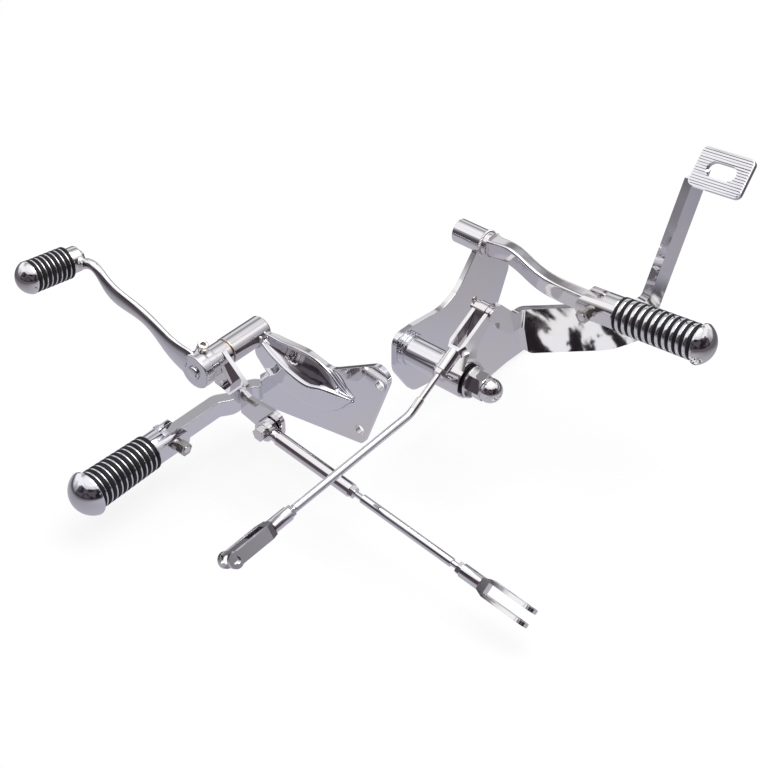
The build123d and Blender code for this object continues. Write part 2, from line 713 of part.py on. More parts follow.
def tongue(hinge):
    """Flat end of a peg arm: round above and square below, where it stops the peg."""
    with BuildSketch(across(hinge)) as outline:
        Circle(ARM_HEIGHT / 2)
        Rectangle(PEG_FLOOR - FACE_GAP, PEG_FLOOR - FACE_GAP, align=(Align.MIN, Align.MIN))
    extrude(outline.sketch, amount=ARM_THICK / 2, both=True)
    bore(across(hinge).offset(-ARM_THICK), PEG_PIN_R + TURN_GAP, 2 * ARM_THICK)


with BuildPart() as left_peg_arm:
    with BuildSketch(Plane.XY.offset(LEFT_HINGE_Z - ARM_HEIGHT / 2)):
        with BuildLine():
            FilletPolyline(
                (-LEFT_ARM_OUT, LEFT_ARM_END_Y),
                (-LEFT_ARM_OUT, LEFT_ARM_JOG_Y),
                (-LEFT_ARM_JOG_OUT, LEFT_ARM_JOG_Y),
                (-LEFT_ARM_JOG_OUT - LEFT_ARM_JOG_RUN, LEFT_HINGE_Y),
                (-LEFT_HINGE_OUT, LEFT_HINGE_Y),
                radius=LEFT_ARM_BEND,
            )
        trace(line_width=ARM_THICK)
    extrude(amount=ARM_HEIGHT)
    tongue(left_hinge)
keep(left_peg_arm.part, "left_peg_arm")


def peg_core(hinge, length, root_radius, tip_radius, rings):
    """Fork and round core of a rider's peg."""
    with BuildPart() as core:
        bar(hinge.offset(-PEG_EAR_R), PEG_NECK_R, PEG_EAR_R + PEG_ROOT)
        with BuildSketch(across(hinge)):
            Circle(PEG_EAR_R)
            Rectangle(PEG_ROOT, 2 * PEG_NECK_R, align=(Align.MIN, Align.CENTER))
        extrude(amount=PEG_FLAT, both=True, mode=Mode.INTERSECT)
        with Locations(hinge.offset(PEG_FLOOR)):
            Box(
                PEG_SLOT,
                4 * PEG_NECK_R,
                PEG_FLOOR + 2 * PEG_EAR_R,
                align=(Align.CENTER, Align.CENTER, Align.MAX),
                mode=Mode.SUBTRACT,
            )
        bore(across(hinge).offset(-2 * PEG_FLAT), PEG_PIN_R + FIT_GAP, 4 * PEG_FLAT)
        grooved(hinge, PEG_ROOT, length, root_radius, tip_radius, rings)
    return core.part


def peg_pin(hinge, head_side):
    """Hinge bolt of a peg, its head on the front ear."""
    line = across(hinge)
    reach = 2 * PEG_FLAT + PEG_WASHER + PEG_NUT + 1
    with BuildPart() as pin:
        if head_side > 0:
            bar(line.offset(PEG_FLAT - reach), PEG_PIN_R, reach)
            bar(line.offset(PEG_FLAT), PEG_PIN_HEAD_R, PEG_PIN_HEAD)
        else:
            bar(line.offset(-PEG_FLAT), PEG_PIN_R, reach)
            bar(line.offset(-PEG_FLAT - PEG_PIN_HEAD), PEG_PIN_HEAD_R, PEG_PIN_HEAD)
    return pin.part


def peg_nut(hinge, head_side):
    """Nut and washer of a peg's hinge bolt, on the rear ear."""
    line = across(hinge)
    with BuildPart() as nut:
        with Locations(line.offset(-head_side * (PEG_FLAT + PEG_WASHER / 2))):
            Cylinder(PEG_WASHER_R, PEG_WASHER)
        hexagon(line.offset(-head_side * (PEG_FLAT + PEG_WASHER)), PEG_NUT_AF, -head_side * PEG_NUT)
        bore(line.offset(-3 * PEG_FLAT), PEG_PIN_R + FIT_GAP, 6 * PEG_FLAT)
    return nut.part


peg_tilt = math.radians(RIGHT_PEG_TILT)
right_hinge = Plane(origin=RIGHT_HINGE, x_dir=(1, 0, 0), z_dir=(0, -math.cos(peg_tilt), math.sin(peg_tilt)))
for side_name, hinge, head_side, peg in (("left", left_hinge, -1, LEFT_PEG), ("right", right_hinge, 1, RIGHT_PEG)):
    peg_length, root_r, tip_r, cap_r, cap_dome = peg
    peg_rings = ring_set(hinge, PEG_ROOT, peg_length, PEG_RINGS, root_r, tip_r)
    keep(peg_rings, f"{side_name}_peg_rings")
    keep(peg_core(hinge, peg_length, root_r, tip_r, peg_rings), f"{side_name}_peg_core")
    keep(end_cap(hinge, PEG_ROOT + peg_length, cap_r, cap_dome), f"{side_name}_peg_cap")
    keep(peg_pin(hinge, head_side), f"{side_name}_peg_pin")
    keep(peg_nut(hinge, head_side), f"{side_name}_peg_nut")

# Right mounting plate
with BuildPart() as right_mount_plate:
    with BuildSketch(right_face(RIGHT_FACE_Y)):
        with BuildLine():
            FilletPolyline(
                (RIGHT_TUBE_X - 5, RIGHT_TUBE_Z - 1),
                (RIGHT_TUBE_X - 9, RIGHT_TUBE_Z - 11),
                (145.0, 30.0),
                (PIVOT_X + 8, PIVOT_Z + 23),
                (PIVOT_X - 19, PIVOT_Z + 23),
                (PIVOT_X - 19, PIVOT_Z - 18),
                (PIVOT_X + 8, PIVOT_Z - 59),
                (PIVOT_X + 41, PIVOT_Z - 65),
                (LOBE_X - 78, LOBE_Z - 16.5),
                (LOBE_X - 49, LOBE_Z - 14.5),
                (LOBE_X + 17, LOBE_Z - 17),
                (LOBE_X + 17, LOBE_Z + 17),
                (LOBE_X - 20, LOBE_Z + 18),
                (228.0, -52.0),
                (219.0, -20.0),
                (240.0, 28.0),
                (RIGHT_TUBE_X + 9, RIGHT_TUBE_Z - 3),
                radius=(1, 6, 50, 30, 12, 25, 20, 60, 8, 30, 16.5, 16.5, 25, 30, 25, 12, 1),
                close=True,
            )
        make_face()
        with Locations((LOBE_X, LOBE_Z)):
            Circle(FRAME_HOLE_R, mode=Mode.SUBTRACT)
        with Locations((RIGHT_TUBE_X, RIGHT_TUBE_Z)):
            Circle(RIGHT_TUBE_R, mode=Mode.SUBTRACT)
        with Locations((PIVOT_X, PIVOT_Z)):
            Circle(PIVOT_BOLT_R + FIT_GAP, mode=Mode.SUBTRACT)
    extrude(amount=-PLATE)
keep(right_mount_plate.part, "right_mount_plate")

with BuildPart() as right_upper_tube:
    tube_at = Plane((RIGHT_TUBE_X, RIGHT_TUBE_FRONT, RIGHT_TUBE_Z), x_dir=(1, 0, 0), z_dir=(0, 1, 0))
    bar(tube_at, RIGHT_TUBE_R, RIGHT_TUBE_LENGTH)
    bore(tube_at, RIGHT_TUBE_BORE_R, RIGHT_TUBE_LENGTH)
keep(right_upper_tube.part, "right_upper_tube")

# Right peg arm, from a square neck on the tube's end down in an S to the hinge
arm_root = right_hinge.offset(-1.4 * ARM_THICK)
with BuildPart() as right_peg_arm:
    with BuildSketch(Plane((RIGHT_TUBE_X, RIGHT_TUBE_FRONT, RIGHT_TUBE_Z), x_dir=(1, 0, 0), z_dir=(0, -1, 0))):
        RectangleRounded(1.7 * RIGHT_TUBE_R, 1.7 * RIGHT_TUBE_R, ARM_EDGE_R)
    for y, up in RIGHT_ARM_STATIONS:
        with BuildSketch(Plane((RIGHT_HINGE[0], y, RIGHT_TUBE_Z + up), x_dir=(1, 0, 0), z_dir=(0, -1, 0))):
            RectangleRounded(ARM_THICK, ARM_HEIGHT, ARM_EDGE_R)
    for place in (arm_root, right_hinge):
        with BuildSketch(place):
            RectangleRounded(ARM_THICK, ARM_HEIGHT, ARM_EDGE_R)
    loft()
    tongue(right_hinge)
keep(right_peg_arm.part, "right_peg_arm")

# Brake pivot: tube, collar, bolt, bush, seal, washer and domed nut
with BuildPart() as brake_pivot_tube:
    bar(pivot_at(RIGHT_FACE_Y), PIVOT_TUBE_R, PIVOT_TUBE_LENGTH)
    bore(pivot_at(RIGHT_FACE_Y), PIVOT_BOLT_R + FIT_GAP, PIVOT_TUBE_LENGTH)
keep(brake_pivot_tube.part, "brake_pivot_tube")

with BuildPart() as brake_pivot_collar:
    bar(pivot_at(RIGHT_FACE_Y), COLLAR_R, COLLAR_LENGTH)
    bore(pivot_at(RIGHT_FACE_Y), PIVOT_TUBE_R + FIT_GAP, COLLAR_LENGTH)
keep(brake_pivot_collar.part, "brake_pivot_collar")

seal_y = PEDAL_HUB_Y - PEDAL_HUB_LENGTH - FACE_GAP
washer_y = seal_y - SEAL_THICK
nut_y = washer_y - WASHER_THICK
bolt_y = RIGHT_FACE_Y + PLATE
with BuildPart() as brake_pivot_bolt:
    bar(pivot_at(bolt_y), PIVOT_BOLT_R, bolt_y - nut_y + PIVOT_NUT)
    hexagon(pivot_at(bolt_y), PIVOT_HEAD_AF, -PIVOT_HEAD)
keep(brake_pivot_bolt.part, "brake_pivot_bolt")

with BuildPart() as brake_pivot_bush:
    bar(pivot_at(PEDAL_HUB_Y), PEDAL_BUSH_R, PEDAL_HUB_LENGTH)
    bore(pivot_at(PEDAL_HUB_Y), PIVOT_BOLT_R + TURN_GAP, PEDAL_HUB_LENGTH)
keep(brake_pivot_bush.part, "brake_pivot_bush")

with BuildPart() as brake_pivot_seal:
    bar(pivot_at(seal_y), SEAL_R, SEAL_THICK)
    bore(pivot_at(seal_y), PIVOT_BOLT_R + FIT_GAP, SEAL_THICK)
keep(brake_pivot_seal.part, "brake_pivot_seal")

with BuildPart() as brake_pivot_washer:
    bar(pivot_at(washer_y), WASHER_R, WASHER_THICK)
    bore(pivot_at(washer_y), PIVOT_BOLT_R + FIT_GAP, WASHER_THICK)
keep(brake_pivot_washer.part, "brake_pivot_washer")

with BuildPart() as brake_pivot_nut:
    hexagon(pivot_at(nut_y), PIVOT_NUT_AF, PIVOT_NUT)
    with BuildSketch(section_of(pivot_at(nut_y - PIVOT_NUT))):
        with BuildLine():
            Polyline((0, PIVOT_DOME), (0, 0), (PIVOT_NUT_AF / 2 - 0.5, 0))
            dome_profile(PIVOT_NUT_AF / 2 - 0.5, 0, PIVOT_DOME)
        make_face()
    revolve(axis=Axis(pivot_at(nut_y).origin, (0, -1, 0)))
    bore(pivot_at(nut_y), PIVOT_BOLT_R + FIT_GAP, PIVOT_NUT + FACE_GAP)
keep(brake_pivot_nut.part, "brake_pivot_nut")

# Brake pedal: hub, web up to the rod's boss, strap that turns outboard, and arm up to the pad
pad_slope = math.radians(PAD_SLOPE)
pad_tilt = math.radians(PAD_TILT)
outboard = Vector(0, -math.cos(pad_tilt), math.sin(pad_tilt))
uphill = Vector(math.cos(pad_slope), 0, math.sin(pad_slope))
turn = math.radians(STRAP_TURN)
strap_y = RIGHT_MID_Y - 1.0
pad_corner_x = PEDAL_ARM_X - PAD_CORNER_BACK
pad_corner_y = strap_y - (pad_corner_x - STRAP_BEND_X) * math.tan(turn) - PAD_CORNER_OUT
pad_corner = Vector(pad_corner_x, pad_corner_y, PEDAL_ARM_TOP - PAD_CORNER_DOWN)
pad = Plane(
    origin=pad_corner + outboard * (PAD_WIDTH / 2) + uphill * (PAD_DEPTH / 2),
    x_dir=outboard,
    z_dir=outboard.cross(uphill),
)
strap_reach = PEDAL_ARM_X + STRAP_THICK - STRAP_BEND_X
strap_end = (STRAP_BEND_X + strap_reach, strap_y - strap_reach * math.tan(turn))
with BuildPart() as brake_pedal:
    with BuildSketch(Plane.XY.offset(STRAP_BOTTOM)):
        with BuildLine():
            FilletPolyline((PIN_X + 20, strap_y), (STRAP_BEND_X, strap_y), strap_end, radius=STRAP_BEND_R)
        trace(line_width=STRAP_THICK)
    extrude(amount=PEDAL_ARM_TOP - STRAP_BOTTOM)
    with BuildSketch(right_face(0)):
        with BuildLine():
            FilletPolyline(
                (PIN_X, PIN_Z + PEDAL_BOSS_R),
                (PIN_X + 12, PIN_Z + PEDAL_BOSS_R - 2),
                (STRAP_BEND_X - 11.4, STRAP_TOP + 0.4),
                (PEDAL_ARM_X - 33.5, STRAP_TOP),
                (PEDAL_ARM_X - 9, PEDAL_ARM_TOP),
                (PEDAL_ARM_X, PEDAL_ARM_TOP),
                (PEDAL_ARM_X - 30.1, STRAP_BOTTOM + 13.9),
                (PEDAL_ARM_X - 55.6, STRAP_BOTTOM),
                (STRAP_BEND_X + 4.2, STRAP_BOTTOM),
                (STRAP_BEND_X + 0.2, STRAP_TOP - 20.6),
                (STRAP_BEND_X - 19.8, STRAP_TOP - 19.1),
                (PIN_X, PIN_Z - PEDAL_BOSS_R - 4),
                radius=(1, 8, 14, 14, 1, 1, 26, 26, 4, 6, 12, 1),
                close=True,
            )
        make_face()
    extrude(amount=400, both=True, mode=Mode.INTERSECT)
    with BuildSketch(right_face(RIGHT_MID_Y + PEDAL_BOSS_THICK / 2)):
        with Locations((PIVOT_X, PIVOT_Z)):
            Circle(PEDAL_WEB_R)
        with Locations((PIN_X, PIN_Z)):
            Circle(PEDAL_BOSS_R)
        make_hull()
        with Locations((PIVOT_X + PEDAL_WEB_HOLLOW_AHEAD, PIVOT_Z + PEDAL_WEB_HOLLOW_UP)):
            Circle(PEDAL_WEB_HOLLOW_R, mode=Mode.SUBTRACT)
    extrude(amount=PEDAL_BOSS_THICK)
    with BuildSketch(right_face(strap_y + STRAP_THICK / 2)):
        with BuildLine():
            Polyline(
                (PIN_X, PIN_Z + PEDAL_BOSS_R - 2),
                (PIN_X + 22, PIN_Z - 4),
                (PIN_X + 22, PIN_Z - 24),
                (PIN_X, PIN_Z - PEDAL_BOSS_R - 4),
                close=True,
            )
        make_face()
    extrude(amount=STRAP_THICK)
    with Locations(pad.offset(-PAD_THICK)):
        Box(2 * PAD_WIDTH, 2 * PAD_WIDTH, PAD_WIDTH, align=LOW, mode=Mode.SUBTRACT)
    bar(pivot_at(PEDAL_HUB_Y), PEDAL_HUB_R, PEDAL_HUB_LENGTH)
    bore(pivot_at(PEDAL_HUB_Y), PEDAL_BUSH_R + FIT_GAP, PEDAL_HUB_LENGTH)
    pin_at = Plane((PIN_X, RIGHT_MID_Y, PIN_Z), x_dir=(1, 0, 0), z_dir=(0, -1, 0))
    bore(pin_at.offset(-PEDAL_BOSS_THICK), CLEVIS_PIN_R + TURN_GAP, 2 * PEDAL_BOSS_THICK)
keep(brake_pedal.part, "brake_pedal")

# Ribbed pad with its oval slot
rib_pitch = (PAD_DEPTH - 2) / PAD_RIBS
with BuildPart() as brake_pedal_pad:
    with BuildSketch(pad):
        RectangleRounded(PAD_WIDTH, PAD_DEPTH, PAD_CORNER)
    extrude(amount=-PAD_THICK)
    with BuildSketch(pad):
        with GridLocations(0, rib_pitch, 1, PAD_RIBS):
            Rectangle(PAD_WIDTH - 2, rib_pitch / 2)
        RectangleRounded(PAD_WIDTH - 2, PAD_DEPTH - 2, PAD_CORNER - 1, mode=Mode.INTERSECT)
    extrude(amount=PAD_RIB_HEIGHT)
    with BuildSketch(pad.offset(PAD_RIB_HEIGHT)):
        SlotOverall(PAD_SLOT_LENGTH, PAD_SLOT_WIDTH)
    extrude(amount=-PAD_THICK - PAD_RIB_HEIGHT, mode=Mode.SUBTRACT)
keep(brake_pedal_pad.part, "brake_pedal_pad")

# Brake rod: front clevis on the pedal's pin, rod bent level, rear clevis
slope = math.radians(BRAKE_ROD_SLOPE)
downhill = Vector(-math.cos(slope), 0, -math.sin(slope))
pin_centre = Vector(PIN_X, RIGHT_MID_Y, PIN_Z)
neck_at = pin_centre + downhill * CLEVIS_LENGTH
bend_at = neck_at + downhill * BRAKE_FRONT_RUN
front_start = Plane(origin=neck_at, x_dir=(0, 1, 0), z_dir=-downhill)
fall = math.radians(BRAKE_ROD_FALL)
rearward = Vector(-math.cos(fall), 0, -math.sin(fall))
rear_start = Plane(origin=bend_at + rearward * BRAKE_REAR_RUN, x_dir=(0, 1, 0), z_dir=rearward)
keep(clevis(front_start, 0, FRONT_SLOT_LENGTH), "brake_clevis_front")
keep(clevis(rear_start, BRAKE_CLEVIS_ROLL, REAR_SLOT_LENGTH), "brake_clevis_rear")

with BuildPart() as brake_rod:
    with BuildLine():
        FilletPolyline(
            neck_at + downhill * BRAKE_STUD_LENGTH,
            bend_at,
            rear_start.origin - rearward * REAR_STUD_LENGTH,
            radius=BRAKE_BEND_R,
        )
    with BuildSketch(Plane(neck_at + downhill * BRAKE_STUD_LENGTH, x_dir=(0, 1, 0), z_dir=downhill)):
        Circle(BRAKE_ROD_R)
    sweep()
    bar(front_start.offset(-BRAKE_STUD_LENGTH), ROD_THREAD_R, BRAKE_STUD_LENGTH + THREAD_IN)
    bar(rear_start.offset(-REAR_STUD_LENGTH), ROD_THREAD_R, REAR_STUD_LENGTH + THREAD_IN)
keep(brake_rod.part, "brake_rod")

with BuildPart() as brake_rod_jam_nuts:
    hexagon(front_start, JAM_NUT_AF, -JAM_NUT)
    hexagon(rear_start, JAM_NUT_AF, -JAM_NUT)
    bore(front_start.offset(-JAM_NUT - 1), ROD_THREAD_R + FIT_GAP, JAM_NUT + 2)
    bore(rear_start.offset(-JAM_NUT - 1), ROD_THREAD_R + FIT_GAP, JAM_NUT + 2)
keep(brake_rod_jam_nuts.part, "brake_rod_jam_nuts")

pin_reach = CLEVIS_WIDTH / 2
with BuildPart() as brake_clevis_pin:
    bar(pin_at.offset(-pin_reach - 5), CLEVIS_PIN_R, 2 * pin_reach + 5)
    bar(pin_at.offset(pin_reach), PIN_HEAD_R, PIN_HEAD)
    bore(Plane(pin_at.offset(-pin_reach - 3).origin - Vector(0, 0, 8), z_dir=(0, 0, 1)), 1.2, 16)
keep(brake_clevis_pin.part, "brake_clevis_pin")

with BuildPart() as brake_clevis_cotter:
    bar(Plane(pin_at.offset(-pin_reach - 3).origin - Vector(0, 0, 8), z_dir=(0, 0, 1)), 1.15, 14)
    with Locations(Plane(pin_at.offset(-pin_reach - 3).origin + Vector(0, 0, 8), z_dir=(0, 1, 0))):
        Torus(2.5, 1.1)
keep(brake_clevis_cotter.part, "brake_clevis_cotter")
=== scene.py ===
import json
import logging
import math
from dataclasses import dataclass
from enum import Enum
from typing import Any, Iterable, Mapping, Optional, Sequence

import bmesh
import bpy
from mathutils import Matrix, Vector

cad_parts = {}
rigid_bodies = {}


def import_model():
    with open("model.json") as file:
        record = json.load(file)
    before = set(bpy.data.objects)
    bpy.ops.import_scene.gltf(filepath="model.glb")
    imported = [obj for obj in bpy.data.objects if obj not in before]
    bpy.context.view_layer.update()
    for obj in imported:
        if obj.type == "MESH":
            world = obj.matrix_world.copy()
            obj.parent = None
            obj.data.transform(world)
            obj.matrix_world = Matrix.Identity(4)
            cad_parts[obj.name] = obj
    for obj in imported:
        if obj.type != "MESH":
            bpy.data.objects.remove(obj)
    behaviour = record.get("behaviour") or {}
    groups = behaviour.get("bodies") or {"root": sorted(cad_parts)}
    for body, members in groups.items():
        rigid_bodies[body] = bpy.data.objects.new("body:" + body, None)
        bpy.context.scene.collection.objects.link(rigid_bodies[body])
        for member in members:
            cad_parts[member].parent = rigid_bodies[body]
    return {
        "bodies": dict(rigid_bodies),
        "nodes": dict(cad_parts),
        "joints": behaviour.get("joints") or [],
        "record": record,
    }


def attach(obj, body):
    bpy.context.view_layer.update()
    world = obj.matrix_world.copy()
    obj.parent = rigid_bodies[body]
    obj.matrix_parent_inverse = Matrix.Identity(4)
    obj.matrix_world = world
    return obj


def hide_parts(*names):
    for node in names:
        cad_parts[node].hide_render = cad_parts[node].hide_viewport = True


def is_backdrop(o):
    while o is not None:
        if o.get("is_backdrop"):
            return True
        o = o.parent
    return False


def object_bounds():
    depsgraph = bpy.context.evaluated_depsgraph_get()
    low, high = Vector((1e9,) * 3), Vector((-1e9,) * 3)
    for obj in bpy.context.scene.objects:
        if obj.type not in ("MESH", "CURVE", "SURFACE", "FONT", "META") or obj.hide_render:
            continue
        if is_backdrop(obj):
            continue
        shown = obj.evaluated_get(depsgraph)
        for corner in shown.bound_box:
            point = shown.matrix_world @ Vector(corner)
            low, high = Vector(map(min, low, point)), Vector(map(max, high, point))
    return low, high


log = logging.getLogger("forward_controls")

MM = 0.001

Colour = tuple[float, float, float]
Place = tuple[float, float, float]
Span = tuple[float, float]

WHITE: Colour = (1.0, 1.0, 1.0)
RIGHT = Vector((1.0, 0.0, 0.0))
AHEAD = Vector((0.0, 1.0, 0.0))
UP = Vector((0.0, 0.0, 1.0))

# Places of the colour sockets of a Mix node, among those of its other kinds of data.
MIX_FIRST = 6
MIX_SECOND = 7
MIX_RESULT = 2

# How finely the two patterns are cut.
RING_SIDES = 64
RING_EDGE_STEPS = 5
RIPPLE_SIDES = 14
RIPPLE_RINGS = 8


class Slot(Enum):
    """Material slots of the record that a piece takes its finish from."""

    CHROME = "chrome"
    RUBBER = "rubber"
    ZINC = "zinc"
    BRONZE = "bronze"


class Signal:
    """A socket in a node tree that does arithmetic by adding Math nodes."""

    def __init__(self, sheet: "NodeSheet", socket: bpy.types.NodeSocket) -> None:
        """Wrap a socket.

        Args:
            sheet: The tree builder that adds the Math nodes.
            socket: The output socket that carries the value.
        """
        self.sheet = sheet
        self.socket = socket

    def _math(self, operation: str, left: Any, right: Any) -> "Signal":
        """Add one Math node and give its result."""
        return self.sheet.add("ShaderNodeMath", {"operation": operation}, {0: left, 1: right})

    def __add__(self, other: Any) -> "Signal":
        """Sum."""
        return self._math("ADD", self, other)

    def __radd__(self, other: Any) -> "Signal":
        """Sum with a number on the left."""
        return self._math("ADD", other, self)

    def __sub__(self, other: Any) -> "Signal":
        """Difference."""
        return self._math("SUBTRACT", self, other)

    def __rsub__(self, other: Any) -> "Signal":
        """Difference from a number on the left."""
        return self._math("SUBTRACT", other, self)

    def __mul__(self, other: Any) -> "Signal":
        """Product."""
        return self._math("MULTIPLY", self, other)

    def __truediv__(self, other: Any) -> "Signal":
        """Quotient."""
        return self._math("DIVIDE", self, other)

    def at_least(self, low: Any) -> "Signal":
        """The larger of this signal and a value."""
        return self._math("MAXIMUM", self, low)

    def magnitude(self) -> "Signal":
        """Value without its sign."""
        return self._math("ABSOLUTE", self, 0.0)

    def ramp(self, low: float, high: float) -> "Signal":
        """Smooth step of this signal, from 0 at low to 1 at high."""
        values = {"Value": self, "From Min": low, "From Max": high, "To Min": 0.0, "To Max": 1.0}
        return self.sheet.add("ShaderNodeMapRange", {"interpolation_type": "SMOOTHSTEP"}, values)


class NodeSheet:
    """Builds the nodes of one tree: of a material, of the world or of a pattern."""

    def __init__(self, tree: bpy.types.NodeTree) -> None:
        """Take over a tree and empty it.

        Args:
            tree: The node tree to fill.
        """
        self.tree = tree
        self.tree.nodes.clear()

    def add(
        self,
        kind: str,
        settings: Optional[Mapping[str, Any]] = None,
        values: Optional[Mapping[Any, Any]] = None,
        output: Any = 0,
    ) -> Signal:
        """Add a node, set it up and link it.

        Args:
            kind: The node's type.
            settings: The node's own properties.
            values: Its input sockets, each a number, a vector or a signal.
            output: The output that is returned, by place or name.

        Returns:
            The chosen output of the node, or its first input where it has no output.
        """
        node = self.tree.nodes.new(kind)
        for name, value in (settings or {}).items():
            setattr(node, name, value)
        for key, value in (values or {}).items():
            if isinstance(value, Signal):
                self.tree.links.new(value.socket, node.inputs[key])
            else:
                node.inputs[key].default_value = value
        socket = node.outputs[output] if len(node.outputs) else node.inputs[0]
        return Signal(self, socket)

    def place(self) -> Signal:
        """Place on the object, in its own coordinates."""
        return self.add("ShaderNodeTexCoord", output="Object")

    def ray(self, kind: str) -> Signal:
        """Whether the ray is of one kind, such as Is Camera Ray."""
        return self.add("ShaderNodeLightPath", output=kind)

    def vector(self, x: Any = 0.0, y: Any = 0.0, z: Any = 0.0) -> Signal:
        """A vector of three values."""
        return self.add("ShaderNodeCombineXYZ", None, {"X": x, "Y": y, "Z": z})

    def length(self, vector: Signal) -> Signal:
        """Length of a vector."""
        return self.add("ShaderNodeVectorMath", {"operation": "LENGTH"}, {0: vector}, "Value")

    def along(self, vector: Signal, direction: Sequence[float]) -> Signal:
        """Reach of a vector in one direction, times that direction's length."""
        values = {0: vector, 1: direction}
        return self.add("ShaderNodeVectorMath", {"operation": "DOT_PRODUCT"}, values, "Value")

    def noise(
        self, vector: Signal, scale: float, detail: float = 2.0, roughness: float = 0.5
    ) -> Signal:
        """Smooth noise.

        Args:
            vector: Where it is read.
            scale: Its frequency, per metre on a piece.
            detail: Its number of octaves.
            roughness: How much the small octaves weigh.

        Returns:
            The noise, from 0 to 1.
        """
        values = {"Vector": vector, "Scale": scale, "Detail": detail, "Roughness": roughness}
        return self.add("ShaderNodeTexNoise", None, values, "Fac")

    def bump(self, height: Signal, distance: float, strength: float = 1.0) -> Signal:
        """Normal of a slightly uneven surface.

        Args:
            height: The relief, from 0 to 1.
            distance: The relief's depth, in metres.
            strength: How much of it shows.

        Returns:
            The normal.
        """
        values = {"Strength": strength, "Distance": distance, "Height": height}
        return self.add("ShaderNodeBump", None, values, "Normal")

    def mix(self, factor: Any, first: Any, second: Any) -> Signal:
        """Mix two colours.

        Args:
            factor: The share of the second colour.
            first: The first colour.
            second: The second colour.

        Returns:
            The mixed colour.
        """
        values = {0: factor, MIX_FIRST: _rgba(first), MIX_SECOND: _rgba(second)}
        return self.add("ShaderNodeMix", {"data_type": "RGBA"}, values, MIX_RESULT)

    def emission(self, colour: Any) -> Signal:
        """A surface that shines in a colour, at a strength of 1."""
        return self.add("ShaderNodeEmission", None, {"Color": _rgba(colour), "Strength": 1.0})

    def mix_surfaces(self, factor: Signal, first: Signal, second: Signal) -> Signal:
        """Mix of two surfaces, by the share of the second."""
        return self.add("ShaderNodeMixShader", None, {0: factor, 1: first, 2: second})

    def surface(self, values: Mapping[str, Any]) -> None:
        """End a material's tree in one surface shader.

        Args:
            values: The shader's sockets.
        """
        shader = self.add("ShaderNodeBsdfPrincipled", None, values, "BSDF")
        self.add("ShaderNodeOutputMaterial", None, {"Surface": shader})


def _rgba(colour: Any) -> Any:
    """Give a plain colour its alpha, and leave a signal as it is."""
    return colour if isinstance(colour, Signal) else (*colour, 1.0)


def new_material(name: str) -> tuple[bpy.types.Material, NodeSheet]:
    """Start a node material.

    Args:
        name: The material's name.

    Returns:
        The material and the builder of its tree.
    """
    material = bpy.data.materials.new(name)
    material.use_nodes = True
    return material, NodeSheet(material.node_tree)


@dataclass(frozen=True)
class ChromeFinish:
    """Polished chrome plate: a mirror with a faint buffed waviness and cool and warm patches."""

    name: str = "polished_chrome"
    cool: Colour = (0.80, 0.80, 0.835)
    warm: Colour = (0.82, 0.80, 0.795)
    patch_scale: float = 9.0
    patch_span: Span = (0.35, 0.65)
    roughness: float = 0.045
    haze_scale: float = 55.0
    haze_span: Span = (0.45, 0.75)
    haze_roughness: float = 0.05
    scuff_scale: float = 420.0
    scuff_span: Span = (0.55, 0.8)
    scuff_roughness: float = 0.02
    wave_height: float = 0.00002
    wave_scale: float = 38.0

    def build(self) -> bpy.types.Material:
        """Make the material.

        Returns:
            The chrome material.
        """
        material, sheet = new_material(self.name)
        place = sheet.place()
        patches = sheet.noise(place, self.patch_scale).ramp(*self.patch_span)
        haze = sheet.noise(place, self.haze_scale, 4.0, 0.6).ramp(*self.haze_span)
        scuffs = sheet.noise(place, self.scuff_scale, 2.0, 0.6).ramp(*self.scuff_span)
        waves = sheet.noise(place, self.wave_scale, 1.0)
        rough = self.roughness + haze * self.haze_roughness + scuffs * self.scuff_roughness
        sheet.surface(
            {
                "Base Color": sheet.mix(patches, self.cool, self.warm),
                "Metallic": 1.0,
                "Roughness": rough,
                "Normal": sheet.bump(waves, self.wave_height),
            }
        )
        return material


@dataclass(frozen=True)
class MottledFinish:
    """A finish whose colour and roughness change in patches, over a fine grain where it has one."""

    name: str
    colour: Colour
    patch_colour: Colour
    patch_scale: float
    patch_span: Span
    roughness: float
    patch_roughness: float
    patch_detail: float = 3.0
    grain_scale: float = 0.0
    grain_height: float = 0.0
    grain_strength: float = 0.0
    metallic: float = 1.0
    sheen: float = 0.5

    def build(self) -> bpy.types.Material:
        """Make the material.

        Returns:
            The material.
        """
        material, sheet = new_material(self.name)
        place = sheet.place()
        patches = sheet.noise(place, self.patch_scale, self.patch_detail).ramp(*self.patch_span)
        values = {
            "Base Color": sheet.mix(patches, self.colour, self.patch_colour),
            "Metallic": self.metallic,
            "Specular IOR Level": self.sheen,
            "Roughness": self.roughness + patches * self.patch_roughness,
        }
        if self.grain_height:
            grain = sheet.noise(place, self.grain_scale)
            values["Normal"] = sheet.bump(grain, self.grain_height, self.grain_strength)
        sheet.surface(values)
        return material


@dataclass(frozen=True)
class RubberFinish(MottledFinish):
    """Moulded black rubber with a fine grain and a greyer bloom in patches."""

    name: str = "moulded_rubber"
    colour: Colour = (0.006, 0.006, 0.007)
    patch_colour: Colour = (0.016, 0.016, 0.018)
    patch_scale: float = 60.0
    patch_span: Span = (0.4, 0.75)
    roughness: float = 0.5
    patch_roughness: float = 0.15
    grain_scale: float = 2200.0
    grain_height: float = 0.00005
    grain_strength: float = 0.6
    metallic: float = 0.0
    sheen: float = 0.25


@dataclass(frozen=True)
class ZincFinish(MottledFinish):
    """Zinc-plated steel fasteners: duller, a little yellow, with a fine grain."""

    name: str = "plated_fastener"
    colour: Colour = (0.62, 0.61, 0.58)
    patch_colour: Colour = (0.40, 0.37, 0.33)
    patch_scale: float = 160.0
    patch_span: Span = (0.38, 0.7)
    roughness: float = 0.2
    patch_roughness: float = 0.15
    grain_scale: float = 900.0
    grain_height: float = 0.00004
    grain_strength: float = 0.5


